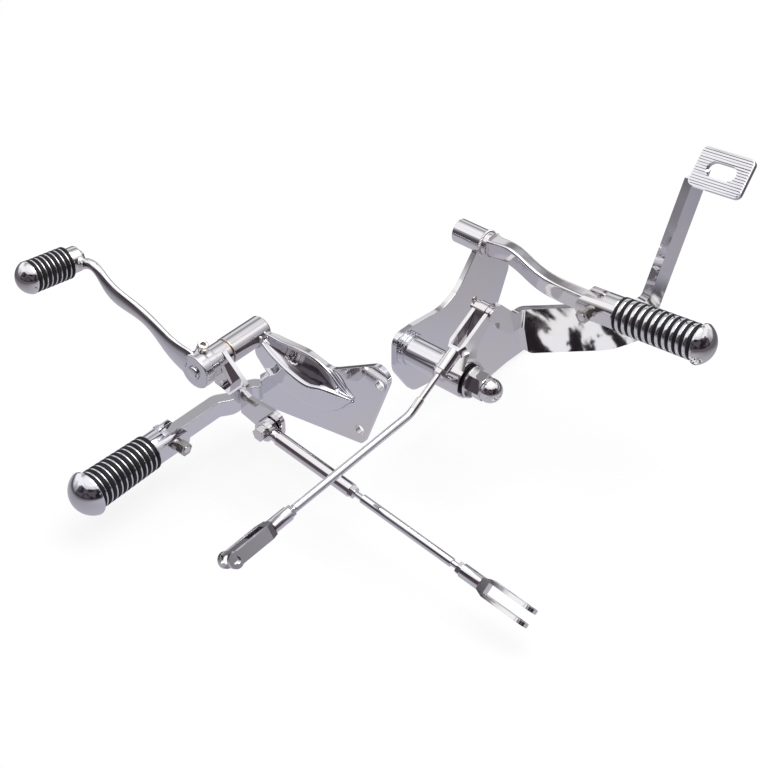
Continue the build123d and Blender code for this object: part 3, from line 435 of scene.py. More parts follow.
@dataclass(frozen=True)
class BronzeFinish(MottledFinish):
    """Sintered bronze of the bushes, porous and oiled."""

    name: str = "oiled_bronze"
    colour: Colour = (0.56, 0.40, 0.20)
    patch_colour: Colour = (0.30, 0.20, 0.10)
    patch_scale: float = 1400.0
    patch_span: Span = (0.45, 0.7)
    patch_detail: float = 2.0
    roughness: float = 0.35
    patch_roughness: float = 0.2


class Finishes:
    """The materials of the set: one for each slot, and a wavier chrome for buffed flat bar."""

    def __init__(self) -> None:
        """Build every material once."""
        self.by_slot: dict[Slot, bpy.types.Material] = {
            Slot.CHROME: ChromeFinish().build(),
            Slot.RUBBER: RubberFinish().build(),
            Slot.ZINC: ZincFinish().build(),
            Slot.BRONZE: BronzeFinish().build(),
        }
        wavy = ChromeFinish(name="wavy_chrome", wave_height=0.0009, wave_scale=13.0)
        self.wavy_chrome = wavy.build()

    def dress(self, piece: bpy.types.Object, slot: Slot, buffed: bool = False) -> None:
        """Give a piece one finish.

        Args:
            piece: The object to dress.
            slot: The slot it takes its finish from.
            buffed: Whether it is flat bar whose buffing left broad waves.
        """
        piece.data.materials.clear()
        piece.data.materials.append(self.wavy_chrome if buffed else self.by_slot[slot])


def link_piece(name: str, mesh: bpy.types.Mesh) -> bpy.types.Object:
    """Put a mesh in the scene as an object at the origin.

    Args:
        name: The piece's name.
        mesh: Its mesh, in place.

    Returns:
        The new object.
    """
    piece = bpy.data.objects.new(name, mesh)
    bpy.context.scene.collection.objects.link(piece)
    return piece


def smooth_mesh(shape: bmesh.types.BMesh, name: str) -> bpy.types.Mesh:
    """Turn an edited shape into a smooth mesh, and free the shape.

    Args:
        shape: The shape.
        name: The mesh's name.

    Returns:
        The mesh.
    """
    mesh = bpy.data.meshes.new(name)
    shape.to_mesh(mesh)
    shape.free()
    mesh.shade_smooth()
    return mesh


def modified_mesh(piece: bpy.types.Object) -> bpy.types.Mesh:
    """Make a plain mesh of a piece as its modifiers leave it.

    Args:
        piece: The piece.

    Returns:
        The plain mesh.
    """
    depsgraph = bpy.context.evaluated_depsgraph_get()
    evaluated = piece.evaluated_get(depsgraph)
    return bpy.data.meshes.new_from_object(evaluated, depsgraph=depsgraph)


def joint_place(frame: Mapping[str, Any], name: str) -> Vector:
    """Find a joint of the frame.

    Args:
        name: The joint's name.

    Returns:
        The joint's place, in millimetres.
    """
    found = next(joint for joint in frame["joints"] if joint["name"] == name)
    return Vector([metres / MM for metres in found["pos_m"]])


def standing(foot: Sequence[float], direction: Sequence[float]) -> Matrix:
    """Matrix that takes a shape made round Z to its place, facing its own way.

    Args:
        foot: Where the shape's origin goes, in millimetres.
        direction: Where its Z axis points.

    Returns:
        The matrix.
    """
    turn = UP.rotation_difference(Vector(direction).normalized())
    return Matrix.Translation(Vector(foot) * MM) @ turn.to_matrix().to_4x4()


def arc_points(centre: Span, radius: float, degrees: Iterable[float]) -> list[Span]:
    """Places on a circle.

    Args:
        centre: The circle's centre.
        radius: Its radius.
        degrees: The angles of the places.

    Returns:
        The places, in order.
    """
    angles = [math.radians(angle) for angle in degrees]
    across, up = centre
    return [(across + radius * math.cos(a), up + radius * math.sin(a)) for a in angles]


def curve_value(t: float, before: float, here: float, there: float, after: float) -> float:
    """Read a smooth curve that passes through evenly spaced values.

    Args:
        t: How far the place is on the way from here to there, from 0 to 1.
        before: The value before here.
        here: The value at the start.
        there: The value at the end.
        after: The value after there.

    Returns:
        The curve's value.
    """
    slope = (there - before) / 2
    bend = (2 * before - 5 * here + 4 * there - after) / 2
    twist = (3 * here - before - 3 * there + after) / 2
    return here + slope * t + bend * t * t + twist * t**3


def smooth_rows(rows: Sequence[Sequence[float]], steps: int) -> list[list[float]]:
    """Pass a smooth curve through rows of numbers.

    Args:
        rows: The rows, in order.
        steps: How many steps each gap between two rows is cut into.

    Returns:
        The rows with the steps between them.
    """
    smooth = []
    last = len(rows) - 1
    for i in range(last):
        around = [rows[min(max(k, 0), last)] for k in range(i - 1, i + 3)]
        for step in range(steps):
            smooth.append([curve_value(step / steps, *values) for values in zip(*around)])
    smooth.append(list(rows[last]))
    return smooth


@dataclass
class PolishedNodes:
    """Smooth copies of the frame's nodes, with their edges rounded as buffing leaves them."""

    frame: Mapping[str, Any]
    finishes: Finishes
    edge_radius: float = 0.5 * MM
    fine_edge_radius: float = 0.25 * MM
    edge_segments: int = 2
    fine_nodes: tuple[str, ...] = ("shift_shaft_circlip", "brake_clevis_cotter", "brake_pedal_pad")
    castings: tuple[str, ...] = ("left_peg_arm", "right_peg_arm", "shift_lever")
    buffed_nodes: tuple[str, ...] = ("brake_pedal",)
    skin_size: float = 0.6 * MM
    buffing_steps: int = 10
    buffing_factor: float = 0.5
    smooth_angle: float = math.radians(32.0)
    merge_distance: float = 0.0005 * MM
    flat_angle: float = math.radians(0.05)

    def copy_mesh(self, node: str) -> bpy.types.Mesh:
        """Merge a node's loose triangles into a clean mesh.

        Args:
            node: The node's name.

        Returns:
            The merged mesh.
        """
        shape = bmesh.new()
        shape.from_mesh(self.frame["nodes"][node].data)
        bmesh.ops.remove_doubles(shape, verts=shape.verts, dist=self.merge_distance)
        bmesh.ops.dissolve_limit(
            shape, angle_limit=self.flat_angle, verts=shape.verts, edges=shape.edges
        )
        mesh = smooth_mesh(shape, f"{node}_polished")
        mesh.set_sharp_from_angle(angle=self.smooth_angle)
        return mesh

    def round_edges(self, piece: bpy.types.Object, radius: float) -> None:
        """Round a piece's sharp edges by a live bevel.

        Args:
            piece: The polished copy.
            radius: The bevel's width.
        """
        bevel = piece.modifiers.new("rounded_edges", "BEVEL")
        bevel.width = radius
        bevel.segments = self.edge_segments
        bevel.limit_method = "ANGLE"
        bevel.angle_limit = self.smooth_angle
        bevel.harden_normals = True

    def soften(self, piece: bpy.types.Object) -> None:
        """Round a casting all over, as forging and buffing leave it, and keep the plain mesh.

        Args:
            piece: The polished copy.
        """
        even = piece.modifiers.new("even_skin", "REMESH")
        even.mode = "VOXEL"
        even.voxel_size = self.skin_size
        even.use_smooth_shade = True
        relax = piece.modifiers.new("buffed", "SMOOTH")
        relax.factor = self.buffing_factor
        relax.iterations = self.buffing_steps
        mesh = modified_mesh(piece)
        piece.modifiers.clear()
        piece.data = mesh
        log.info("%s: %d faces after buffing", piece.name, len(mesh.polygons))

    def build(self, node: str, slot: Slot, body: str) -> None:
        """Replace one node by its polished copy.

        Args:
            node: The node's name.
            slot: Its finish.
            body: The body that it moves with.
        """
        piece = link_piece(f"{node}_polished", self.copy_mesh(node))
        if node in self.castings:
            self.soften(piece)
        else:
            fine = node in self.fine_nodes
            self.round_edges(piece, self.fine_edge_radius if fine else self.edge_radius)
        self.finishes.dress(piece, slot, node in self.buffed_nodes)
        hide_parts(node)
        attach(piece, body)
        log.info("%s rides on %s", piece.name, body)

    def build_all(self, left_out: Iterable[str] = ()) -> None:
        """Polish every node of the frame.

        Args:
            left_out: Nodes that have a piece of their own.
        """
        record = self.frame["record"]
        slots = {part["node"]: Slot(part["material_slot"]) for part in record["subparts"]}
        for body, nodes in record["behaviour"]["bodies"].items():
            for node in nodes:
                if node not in left_out:
                    self.build(node, slots[node], body)


class PatternTree(NodeSheet):
    """A Geometry Nodes tree with named inputs that ends in realized, dressed geometry."""

    SOCKETS: Mapping[str, str] = {
        "count": "NodeSocketInt",
        "size": "NodeSocketFloat",
        "shape": "NodeSocketGeometry",
        "finish": "NodeSocketMaterial",
    }

    def __init__(self, name: str, inputs: Mapping[str, str]) -> None:
        """Start a tree.

        Args:
            name: The tree's name.
            inputs: The kind of each named input, in order.
        """
        super().__init__(bpy.data.node_groups.new(name, "GeometryNodeTree"))
        self.keys: dict[str, str] = {}
        sockets = self.tree.interface
        for label, kind in inputs.items():
            socket = sockets.new_socket(name=label, in_out="INPUT", socket_type=self.SOCKETS[kind])
            self.keys[label] = socket.identifier
        sockets.new_socket(name="Geometry", in_out="OUTPUT", socket_type="NodeSocketGeometry")
        self.entry = self.tree.nodes.new("NodeGroupInput")

    def input(self, label: str) -> Signal:
        """One of the named inputs."""
        return Signal(self, self.entry.outputs[label])

    def end(self, geometry: Signal) -> None:
        """Realize, smooth and dress what the tree makes.

        Args:
            geometry: The instances or the mesh.
        """
        realized = self.add("GeometryNodeRealizeInstances", None, {"Geometry": geometry})
        shading = {"Geometry": realized, "Shade Smooth": True}
        smooth = self.add("GeometryNodeSetShadeSmooth", None, shading)
        dressing = {"Geometry": smooth, "Material": self.input("Finish")}
        dressed = self.add("GeometryNodeSetMaterial", None, dressing)
        self.add("NodeGroupOutput", None, {"Geometry": dressed})

    def bake(
        self, name: str, values: Mapping[str, Any], path: Sequence[Sequence[float]] = ()
    ) -> bpy.types.Mesh:
        """Run the tree once and keep its plain mesh.

        Args:
            name: The mesh's name.
            values: What each named input is set to.
            path: Points that the pattern follows, in metres, where it follows any.

        Returns:
            The plain mesh.
        """
        route = bpy.data.meshes.new(f"{name}_route")
        links = [(i, i + 1) for i in range(len(path) - 1)]
        route.from_pydata([tuple(point) for point in path], links, [])
        carrier = link_piece(f"{name}_carrier", route)
        modifier = carrier.modifiers.new("pattern", "NODES")
        modifier.node_group = self.tree
        for label, value in values.items():
            modifier[self.keys[label]] = value
        mesh = modified_mesh(carrier)
        mesh.name = name
        bpy.data.objects.remove(carrier)
        bpy.data.meshes.remove(route)
        return mesh


def ring_tree() -> PatternTree:
    """Build the tree for rings side by side along Z, such as a peg's rubbers.

    Returns:
        The tree.
    """
    sizes = ("First", "Pitch", "Root Radius", "Tip Radius", "Width", "Depth", "Edge")
    kinds = {"Count": "count", **dict.fromkeys(sizes, "size"), "Finish": "finish"}
    tree = PatternTree("rings", kinds)
    count = tree.input("Count")
    depth = tree.input("Depth")
    root = tree.input("Root Radius")
    line = {
        "Count": count,
        "Start Location": tree.vector(z=tree.input("First")),
        "Offset": tree.vector(z=tree.input("Pitch")),
    }
    points = tree.add("GeometryNodeMeshLine", {"mode": "OFFSET"}, line)
    middle = {"Resolution": RING_SIDES, "Radius": root - depth / 2}
    circle = tree.add("GeometryNodeCurvePrimitiveCircle", {"mode": "RADIUS"}, middle)
    band = tree.add(
        "GeometryNodeCurvePrimitiveQuadrilateral",
        {"mode": "RECTANGLE"},
        {"Width": depth, "Height": tree.input("Width")},
    )
    fillet = {
        "Curve": band,
        "Count": RING_EDGE_STEPS,
        "Radius": tree.input("Edge"),
        "Limit Radius": True,
    }
    rounded = tree.add("GeometryNodeFilletCurve", {"mode": "POLY"}, fillet)
    sweep = {"Curve": circle, "Profile Curve": rounded}
    ring = tree.add("GeometryNodeCurveToMesh", None, sweep)
    index = tree.add("GeometryNodeInputIndex")
    growth = tree.input("Tip Radius") / root - 1.0
    stretch = growth * index / (count - 1.0).at_least(1.0) + 1.0
    copies = {"Points": points, "Instance": ring, "Scale": tree.vector(stretch, stretch, 1.0)}
    tree.end(tree.add("GeometryNodeInstanceOnPoints", None, copies))
    return tree


def seam_tree() -> PatternTree:
    """Build the tree for a weld: overlapping ripples along a path.

    Returns:
        The tree.
    """
    sizes = ("Spacing", "Bead Radius", "Ripple")
    kinds = {"Geometry": "shape", **dict.fromkeys(sizes, "size"), "Finish": "finish"}
    tree = PatternTree("weld", kinds)
    curve = tree.add("GeometryNodeMeshToCurve", None, {"Mesh": tree.input("Geometry")})
    spaced = {"Curve": curve, "Length": tree.input("Spacing")}
    even = tree.add("GeometryNodeResampleCurve", {"mode": "LENGTH"}, spaced)
    ball = {"Segments": RIPPLE_SIDES, "Rings": RIPPLE_RINGS, "Radius": tree.input("Bead Radius")}
    drop = tree.add("GeometryNodeMeshUVSphere", None, ball)
    along = {"Vector": tree.add("GeometryNodeInputTangent")}
    copies = {
        "Points": even,
        "Instance": drop,
        "Rotation": tree.add("FunctionNodeAlignRotationToVector", {"axis": "Z"}, along),
        "Scale": tree.vector(1.0, 1.0, tree.input("Ripple")),
    }
    tree.end(tree.add("GeometryNodeInstanceOnPoints", None, copies))
    return tree


@dataclass(frozen=True)
class Peg:
    """A ringed peg: its foot, direction, stretch of rings and radii, in millimetres."""

    name: str
    body: str
    foot: Sequence[float]
    direction: Place
    start: float
    length: float
    count: int
    root_radius: float
    tip_radius: float
    rubber_share: float
    band_proud: float


@dataclass
class RingedPegs:
    """The three ringed pegs: rubber rings with polished bands between them."""

    frame: Mapping[str, Any]
    finishes: Finishes
    tilt: float = math.radians(5.0)
    toe_foot: Place = (-104.0, 297.7, 89.5)
    toe_tilt: float = math.radians(3.5)
    toe_sweep: float = math.radians(7.0)
    ring_depth: float = 2.6
    band_depth: float = 2.2
    ring_proud: float = 0.05
    ring_rounding: float = 0.34
    band_rounding: float = 0.49

    def pegs(self) -> tuple[Peg, ...]:
        """The pegs of the set.

        Returns:
            The left rider's peg, which widens towards its tip, the right one, which has thin
            rubbers and broad bands, and the toe peg.
        """
        left = Peg(
            name="left_peg",
            body="left_peg",
            foot=joint_place(self.frame, "left_peg_fold"),
            direction=(-1.0, 0.0, 0.0),
            start=26.0,
            length=79.0,
            count=12,
            root_radius=18.3,
            tip_radius=20.0,
            rubber_share=0.62,
            band_proud=-0.35,
        )
        right = Peg(
            name="right_peg",
            body="right_peg",
            foot=joint_place(self.frame, "right_peg_fold"),
            direction=(0.0, -math.cos(self.tilt), math.sin(self.tilt)),
            start=26.0,
            length=90.0,
            count=12,
            root_radius=17.4,
            tip_radius=17.9,
            rubber_share=0.43,
            band_proud=0.2,
        )
        level = math.cos(self.toe_tilt)
        outward, ahead = -math.cos(self.toe_sweep), math.sin(self.toe_sweep)
        toe = Peg(
            name="toe_peg",
            body="shift_lever_set",
            foot=self.toe_foot,
            direction=(level * outward, level * ahead, math.sin(self.toe_tilt)),
            start=6.0,
            length=43.0,
            count=8,
            root_radius=16.3,
            tip_radius=16.3,
            rubber_share=0.60,
            band_proud=-0.3,
        )
        return left, right, toe

    def rings(self, tree: PatternTree, peg: Peg, slot: Slot) -> None:
        """Make one peg's rubbers or its polished bands.

        Args:
            tree: The ring tree.
            peg: The peg.
            slot: RUBBER for the rings, CHROME for the bands between them.
        """
        rubber = slot is Slot.RUBBER
        pitch = peg.length / peg.count
        width = pitch * (peg.rubber_share if rubber else 1.0 - peg.rubber_share)
        proud = self.ring_proud if rubber else peg.band_proud
        rounding = self.ring_rounding if rubber else self.band_rounding
        name = f"{peg.name}_{'rubbers' if rubber else 'bands'}"
        count = peg.count if rubber else peg.count - 1
        values = {
            "Count": count,
            "First": (peg.start + pitch * (0.5 if rubber else 1.0)) * MM,
            "Pitch": pitch * MM,
            "Root Radius": (peg.root_radius + proud) * MM,
            "Tip Radius": (peg.tip_radius + proud) * MM,
            "Width": width * MM,
            "Depth": (self.ring_depth if rubber else self.band_depth) * MM,
            "Edge": min(width, self.band_depth) * rounding * MM,
            "Finish": self.finishes.by_slot[slot],
        }
        mesh = tree.bake(name, values)
        mesh.transform(standing(peg.foot, peg.direction))
        piece = link_piece(name, mesh)
        if rubber:
            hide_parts(f"{peg.name}_rings")
        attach(piece, peg.body)
        log.info("%s: %d rings", name, count)

    def build_all(self, tree: PatternTree) -> tuple[str, ...]:
        """Make the rings of every peg.

        Args:
            tree: The ring tree.

        Returns:
            The nodes that the rubbers stand for.
        """
        pegs = self.pegs()
        for peg in pegs:
            self.rings(tree, peg, Slot.RUBBER)
            self.rings(tree, peg, Slot.CHROME)
        return tuple(f"{peg.name}_rings" for peg in pegs)


@dataclass
class TroughBracket:
    """Bracket from the left plate out to the tube, with a round rolled rim and a smooth dish.

    A station gives, in millimetres, how far ahead of the tube's axis it lies, how far out its rim
    stands, and the heights of the rim, of the edge on the plate and of the foot.
    """

    frame: Mapping[str, Any]
    finishes: Finishes
    node: str = "left_tube_bracket"
    body: str = "mounts"
    tube_radius: float = 13.95
    plate: float = 5.9
    rim_radius: float = 2.7
    rim_share: float = 0.3
    back_radius: float = 1.7
    back_share: float = 0.2
    dish: float = 2.6
    wall: tuple[Span, ...] = ((0.0, 0.0), (0.32, 0.05), (0.48, 0.26), (0.56, 0.70))
    under_rim: tuple[Span, ...] = ((1.9, 2.1), (0.75, 1.95))
    wall_steps: int = 5
    dish_steps: int = 14
    station_steps: int = 12
    rim_degrees: Iterable[int] = range(-45, 171, 24)
    back_degrees: Iterable[int] = range(-10, 181, 19)
    sharp_angle: float = math.radians(60.0)
    merge_distance: float = 0.01 * MM
    stations: tuple[tuple[float, float, float, float, float], ...] = (
        (-126.0, 9.5, -19.5, -18.6, -24.0),
        (-120.0, 11.5, -18.8, -16.4, -29.3),
        (-111.0, 15.0, -16.8, -10.1, -39.7),
        (-97.0, 21.0, -13.6, 0.6, -50.0),
        (-80.0, 25.0, -14.5, 7.2, -55.0),
        (-57.0, 24.0, -11.0, 8.3, -57.0),
        (-35.0, 21.0, -6.0, 6.0, -55.0),
        (-17.0, 17.0, -1.5, 6.0, -47.0),
        (0.0, 14.0, 3.0, 6.0, -30.0),
    )

    def __post_init__(self) -> None:
        """Take the tube's axis from the frame."""
        self.tube = joint_place(self.frame, "shift_lever_pivot")

    def section(self, rim_out: float, rim_up: float, back_up: float, foot: float) -> list[Span]:
        """Outline of the bracket across its length.

        Args:
            rim_out: How far out the rim stands.
            rim_up: The rim's height.
            back_up: The height of the edge on the plate.
            foot: The foot's height.

        Returns:
            Places out from the plate and up, from the foot round the rim to the plate.
        """
        wide, tall = rim_out - self.plate, rim_up - foot
        bead = min(self.rim_radius, wide * self.rim_share)
        edge = min(self.back_radius, wide * self.back_share)
        outer = [(self.plate + wide * out, foot + tall * up) for out, up in self.wall]
        under = [(rim_out - bead * inward, rim_up - bead * down) for inward, down in self.under_rim]
        wall = [(out, up) for out, up in smooth_rows(outer + under, self.wall_steps)]
        roll = arc_points((rim_out - bead, rim_up - bead), bead, self.rim_degrees)
        lip = arc_points((self.plate + edge, back_up - edge), edge, self.back_degrees)
        (start_out, start_up), (end_out, end_up) = roll[-1], lip[0]
        sag = self.dish * bead / self.rim_radius
        hollow = []
        for step in range(1, self.dish_steps):
            t = step / self.dish_steps
            up = start_up + (end_up - start_up) * t - sag * math.sin(math.pi * t)
            hollow.append((start_out + (end_out - start_out) * t, up))
        return wall + roll + hollow + lip

    def point(self, ahead: float, out: float, up: float) -> Vector:
        """Place a point in the frame, kept out of the tube's bore.

        Args:
            ahead: Ahead of the tube's axis.
            out: Out from the plate's inboard face.
            up: Above the tube's axis.

        Returns:
            The point, in metres.
        """
        reach = math.hypot(ahead, up)
        if reach < self.tube_radius:
            grow = self.tube_radius / max(reach, 0.1)
            ahead, up = ahead * grow, up * grow
        return Vector((-out, self.tube.y + ahead, self.tube.z + up)) * MM

    def build(self) -> None:
        """Skin the sections."""
        shape = bmesh.new()
        rings = []
        for ahead, *sizes in smooth_rows(self.stations, self.station_steps):
            outline = self.section(*sizes)
            rings.append([shape.verts.new(self.point(ahead, out, up)) for out, up in outline])
        for near, far in zip(rings, rings[1:]):
            for i in range(len(near)):
                j = (i + 1) % len(near)
                shape.faces.new((near[i], near[j], far[j], far[i]))
        shape.faces.new(rings[0])
        shape.faces.new(rings[-1])
        bmesh.ops.remove_doubles(shape, verts=shape.verts, dist=self.merge_distance)
        bmesh.ops.recalc_face_normals(shape, faces=shape.faces)
        mesh = smooth_mesh(shape, f"{self.node}_rolled")
        mesh.set_sharp_from_angle(angle=self.sharp_angle)
        piece = link_piece(mesh.name, mesh)
        self.finishes.dress(piece, Slot.CHROME)
        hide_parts(self.node)
        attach(piece, self.body)
        log.info("%s: %d faces", piece.name, len(mesh.polygons))


@dataclass
class WeldSeams:
    """Ripples of weld where the tubes and the bracket are joined, plated over with the rest."""

    finishes: Finishes
    spacing: float = 1.5
    bead_radius: float = 1.7
    ripple: float = 0.72
    foot_steps: int = 6
    foot_out: float = 0.3
    round_steps: int = 48
    bracket_end: float = -14.5
    bracket_end_radius: float = 14.3
    bracket_end_degrees: Span = (165.0, 255.0)
    right_tube: Place = (190.0, 13.6, 83.0)
    right_tube_radius: float = 12.6
    right_tube_degrees: Span = (-180.0, 180.0)

    def tube_end(
        self, centre: Sequence[float], radius: float, degrees: Span, sideways: Vector
    ) -> list[Vector]:
        """Points round a tube's end.

        Args:
            centre: The end's centre, in millimetres.
            radius: The tube's radius.
            degrees: Where the arc starts and ends.
            sideways: The level direction across the tube.

        Returns:
            The points, in metres.
        """
        start, end = degrees
        steps = range(self.round_steps + 1)
        angles = [start + (end - start) * step / self.round_steps for step in steps]
        places = arc_points((0.0, 0.0), radius, angles)
        return [(Vector(centre) + sideways * side + UP * up) * MM for side, up in places]

    def bracket_foot(self, bracket: TroughBracket) -> list[Vector]:
        """Points along the bracket's foot on the plate.

        Args:
            bracket: The bracket.

        Returns:
            The points, in metres.
        """
        rows = smooth_rows(bracket.stations, self.foot_steps)
        return [bracket.point(row[0], bracket.plate + self.foot_out, row[-1]) for row in rows]

    def build_all(self, tree: PatternTree, bracket: TroughBracket) -> None:
        """Lay every seam.

        Args:
            tree: The weld tree.
            bracket: The bracket, for its foot's line.
        """
        bracket_end = (self.bracket_end, bracket.tube.y, bracket.tube.z)
        seams = {
            "bracket_foot_weld": self.bracket_foot(bracket),
            "bracket_tube_weld": self.tube_end(
                bracket_end, self.bracket_end_radius, self.bracket_end_degrees, AHEAD
            ),
            "right_tube_weld": self.tube_end(
                self.right_tube, self.right_tube_radius, self.right_tube_degrees, RIGHT
            ),
        }
        values = {
            "Spacing": self.spacing * MM,
            "Bead Radius": self.bead_radius * MM,
            "Ripple": self.ripple,
            "Finish": self.finishes.by_slot[Slot.CHROME],
        }
        for name, points in seams.items():
            piece = link_piece(name, tree.bake(name, values, points))
            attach(piece, "mounts")
            log.info("%s: %d faces", name, len(piece.data.polygons))


@dataclass
class PivotDetails:
    """Small turned details of the two pivots: the shaft's button and the collar's beads.

    The button's profile is a list of radii and heights, from its rim to the top of its dome.
    """

    frame: Mapping[str, Any]
    finishes: Finishes
    shaft_end: float = -93.0
    button: tuple[Span, ...] = (
        (6.6, -0.3),
        (6.6, 1.5),
        (6.2, 2.2),
        (5.2, 2.6),
        (2.6, 2.9),
        (0.0, 3.0),
    )
    button_steps: int = 48
    merge_distance: float = 0.001 * MM
    collar: float = 18.6
    collar_radius: float = 17.9
    bead_pitch: float = 3.2
    bead_width: float = 1.7
    bead_depth: float = 1.8
    bead_edge: float = 0.8

    def shaft_button(self) -> None:
        """Turn the domed end of the shift shaft."""
        shape = bmesh.new()
        rows = [(radius * MM, 0.0, height * MM) for radius, height in self.button]
        profile = [shape.verts.new(row) for row in rows]
        edges = [shape.edges.new(pair) for pair in zip(profile, profile[1:])]
        bmesh.ops.spin(
            shape,
            geom=profile + edges,
            cent=(0, 0, 0),
            axis=(0, 0, 1),
            angle=math.tau,
            steps=self.button_steps,
            use_merge=True,
        )
        bmesh.ops.remove_doubles(shape, verts=shape.verts, dist=self.merge_distance)
        shaft = joint_place(self.frame, "shift_lever_pivot")
        shape.transform(standing((self.shaft_end, shaft.y, shaft.z), (-1.0, 0.0, 0.0)))
        bmesh.ops.recalc_face_normals(shape, faces=shape.faces)
        piece = link_piece("shaft_button", smooth_mesh(shape, "shaft_button"))
        self.finishes.dress(piece, Slot.CHROME)
        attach(piece, "shift_lever_set")
        log.info("%s: %d faces", piece.name, len(piece.data.polygons))

    def collar_beads(self, tree: PatternTree) -> None:
        """Bead the collar at the root of the brake's pivot.

        Args:
            tree: The ring tree.
        """
        values = {
            "Count": 2,
            "First": 0.0,
            "Pitch": self.bead_pitch * MM,
            "Root Radius": self.collar_radius * MM,
            "Tip Radius": self.collar_radius * MM,
            "Width": self.bead_width * MM,
            "Depth": self.bead_depth * MM,
            "Edge": self.bead_edge * MM,
            "Finish": self.finishes.by_slot[Slot.CHROME],
        }
        mesh = tree.bake("collar_beads", values)
        pivot = joint_place(self.frame, "brake_pedal_pivot")
        mesh.transform(standing((pivot.x, self.collar, pivot.z), (0.0, -1.0, 0.0)))
        piece = link_piece("collar_beads", mesh)
        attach(piece, "mounts")
        log.info("%s: %d faces", piece.name, len(mesh.polygons))


@dataclass(frozen=True)
class ReflectedRoom:
    """What polished metal mirrors: a light tent, open and dark towards the photographer.

    A span is where a tone starts to change and where it has changed, measured on a direction of
    length 1: its height, how near the photographer or how far to the side it points. A drift is
    how far noise shifts such an edge.
    """

    azimuth: float
    blob_scale: float = 2.1
    blob_detail: float = 3.0
    blob_roughness: float = 0.55
    tent_low: Colour = (0.30, 0.295, 0.33)
    tent_high: Colour = (0.80, 0.80, 0.83)
    tent_span: Span = (0.10, 0.75)
    tent_drift: float = 0.2
    back_span: Span = (0.22, 0.42)
    back_rise: float = 0.3
    back_to_front: Span = (-0.25, 0.05)
    gap_dark: Colour = (0.24, 0.235, 0.25)
    gap_pale: Colour = (0.52, 0.52, 0.53)
    gap_tones: Span = (0.3, 0.7)
    gap_bottom: Span = (0.48, 0.58)
    gap_top: Span = (0.70, 0.78)
    gap_drift: float = 0.12
    panel: Colour = (1.08, 1.08, 1.10)
    panel_inner: Span = (0.52, 0.60)
    panel_outer: Span = (0.78, 0.86)
    panel_bottom: Span = (0.05, 0.12)
    panel_drift: float = 0.5
    room_dark: Colour = (0.018, 0.014, 0.018)
    room_warm: Colour = (0.105, 0.088, 0.108)
    room_tones: Span = (0.42, 0.58)
    room_near: Span = (0.18, 0.32)
    room_drift: float = 0.7
    room_top: Span = (0.78, 0.86)
    room_top_rise: float = 0.25
    overhead_span: Span = (0.80, 0.86)
    overhead_drift: float = 0.06
    table_edge: Colour = (0.03, 0.028, 0.033)
    table_edge_height: float = 0.015
    table_edge_span: Span = (0.02, 0.07)
    table_edge_share: float = 0.85

    def build(self, sheet: NodeSheet) -> Signal:
        """Shade every direction that a mirror can show.

        Args:
            sheet: The world's tree.

        Returns:
            The mirrored colour.
        """
        direction = sheet.add("ShaderNodeTexCoord", output="Generated")
        east, north, height = (
            sheet.add("ShaderNodeSeparateXYZ", None, {"Vector": direction}, axis) for axis in "XYZ"
        )
        turn = math.radians(self.azimuth)
        nearer = east * math.sin(turn) - north * math.cos(turn)
        rightward = east * math.cos(turn) + north * math.sin(turn)
        blobs = sheet.noise(direction, self.blob_scale, self.blob_detail, self.blob_roughness)
        drift = blobs - 0.5
        rise = (height + drift * self.tent_drift).ramp(*self.tent_span)
        tent = sheet.mix(rise, self.tent_low, self.tent_high)
        back = self.back_walls(sheet, height, blobs)
        walls = sheet.mix(nearer.ramp(*self.back_to_front), back, tent)
        side = (rightward + drift * self.panel_drift).magnitude()
        panels = side.ramp(*self.panel_inner) * (1.0 - side.ramp(*self.panel_outer))
        lit_walls = sheet.mix(panels * height.ramp(*self.panel_bottom), walls, self.panel)
        near = (nearer + drift * self.room_drift).ramp(*self.room_near)
        top = (height + blobs * self.room_top_rise).ramp(*self.room_top)
        room = sheet.mix(blobs.ramp(*self.room_tones), self.room_dark, self.room_warm)
        with_room = sheet.mix(near * (1.0 - top), lit_walls, room)
        overhead = (height + drift * self.overhead_drift).ramp(*self.overhead_span)
        with_lamp = sheet.mix(overhead, with_room, self.panel)
        off_edge = (height - self.table_edge_height).magnitude().ramp(*self.table_edge_span)
        return sheet.mix((1.0 - off_edge) * self.table_edge_share, with_lamp, self.table_edge)

    def back_walls(self, sheet: NodeSheet, height: Signal, blobs: Signal) -> Signal:
        """Shade the tent's far walls, with the darker gap between two of its cloths.

        Args:
            sheet: The world's tree.
            height: The direction's height.
            blobs: The noise of the room.

        Returns:
            The walls' colour.
        """
        rise = (height + blobs * self.back_rise).ramp(*self.back_span)
        cloth = sheet.mix(rise, self.tent_low, self.tent_high)
        bottom = (height + (blobs - 0.5) * self.gap_drift).ramp(*self.gap_bottom)
        gap = sheet.mix(blobs.ramp(*self.gap_tones), self.gap_dark, self.gap_pale)
        return sheet.mix(bottom * (1.0 - height.ramp(*self.gap_top)), cloth, gap)


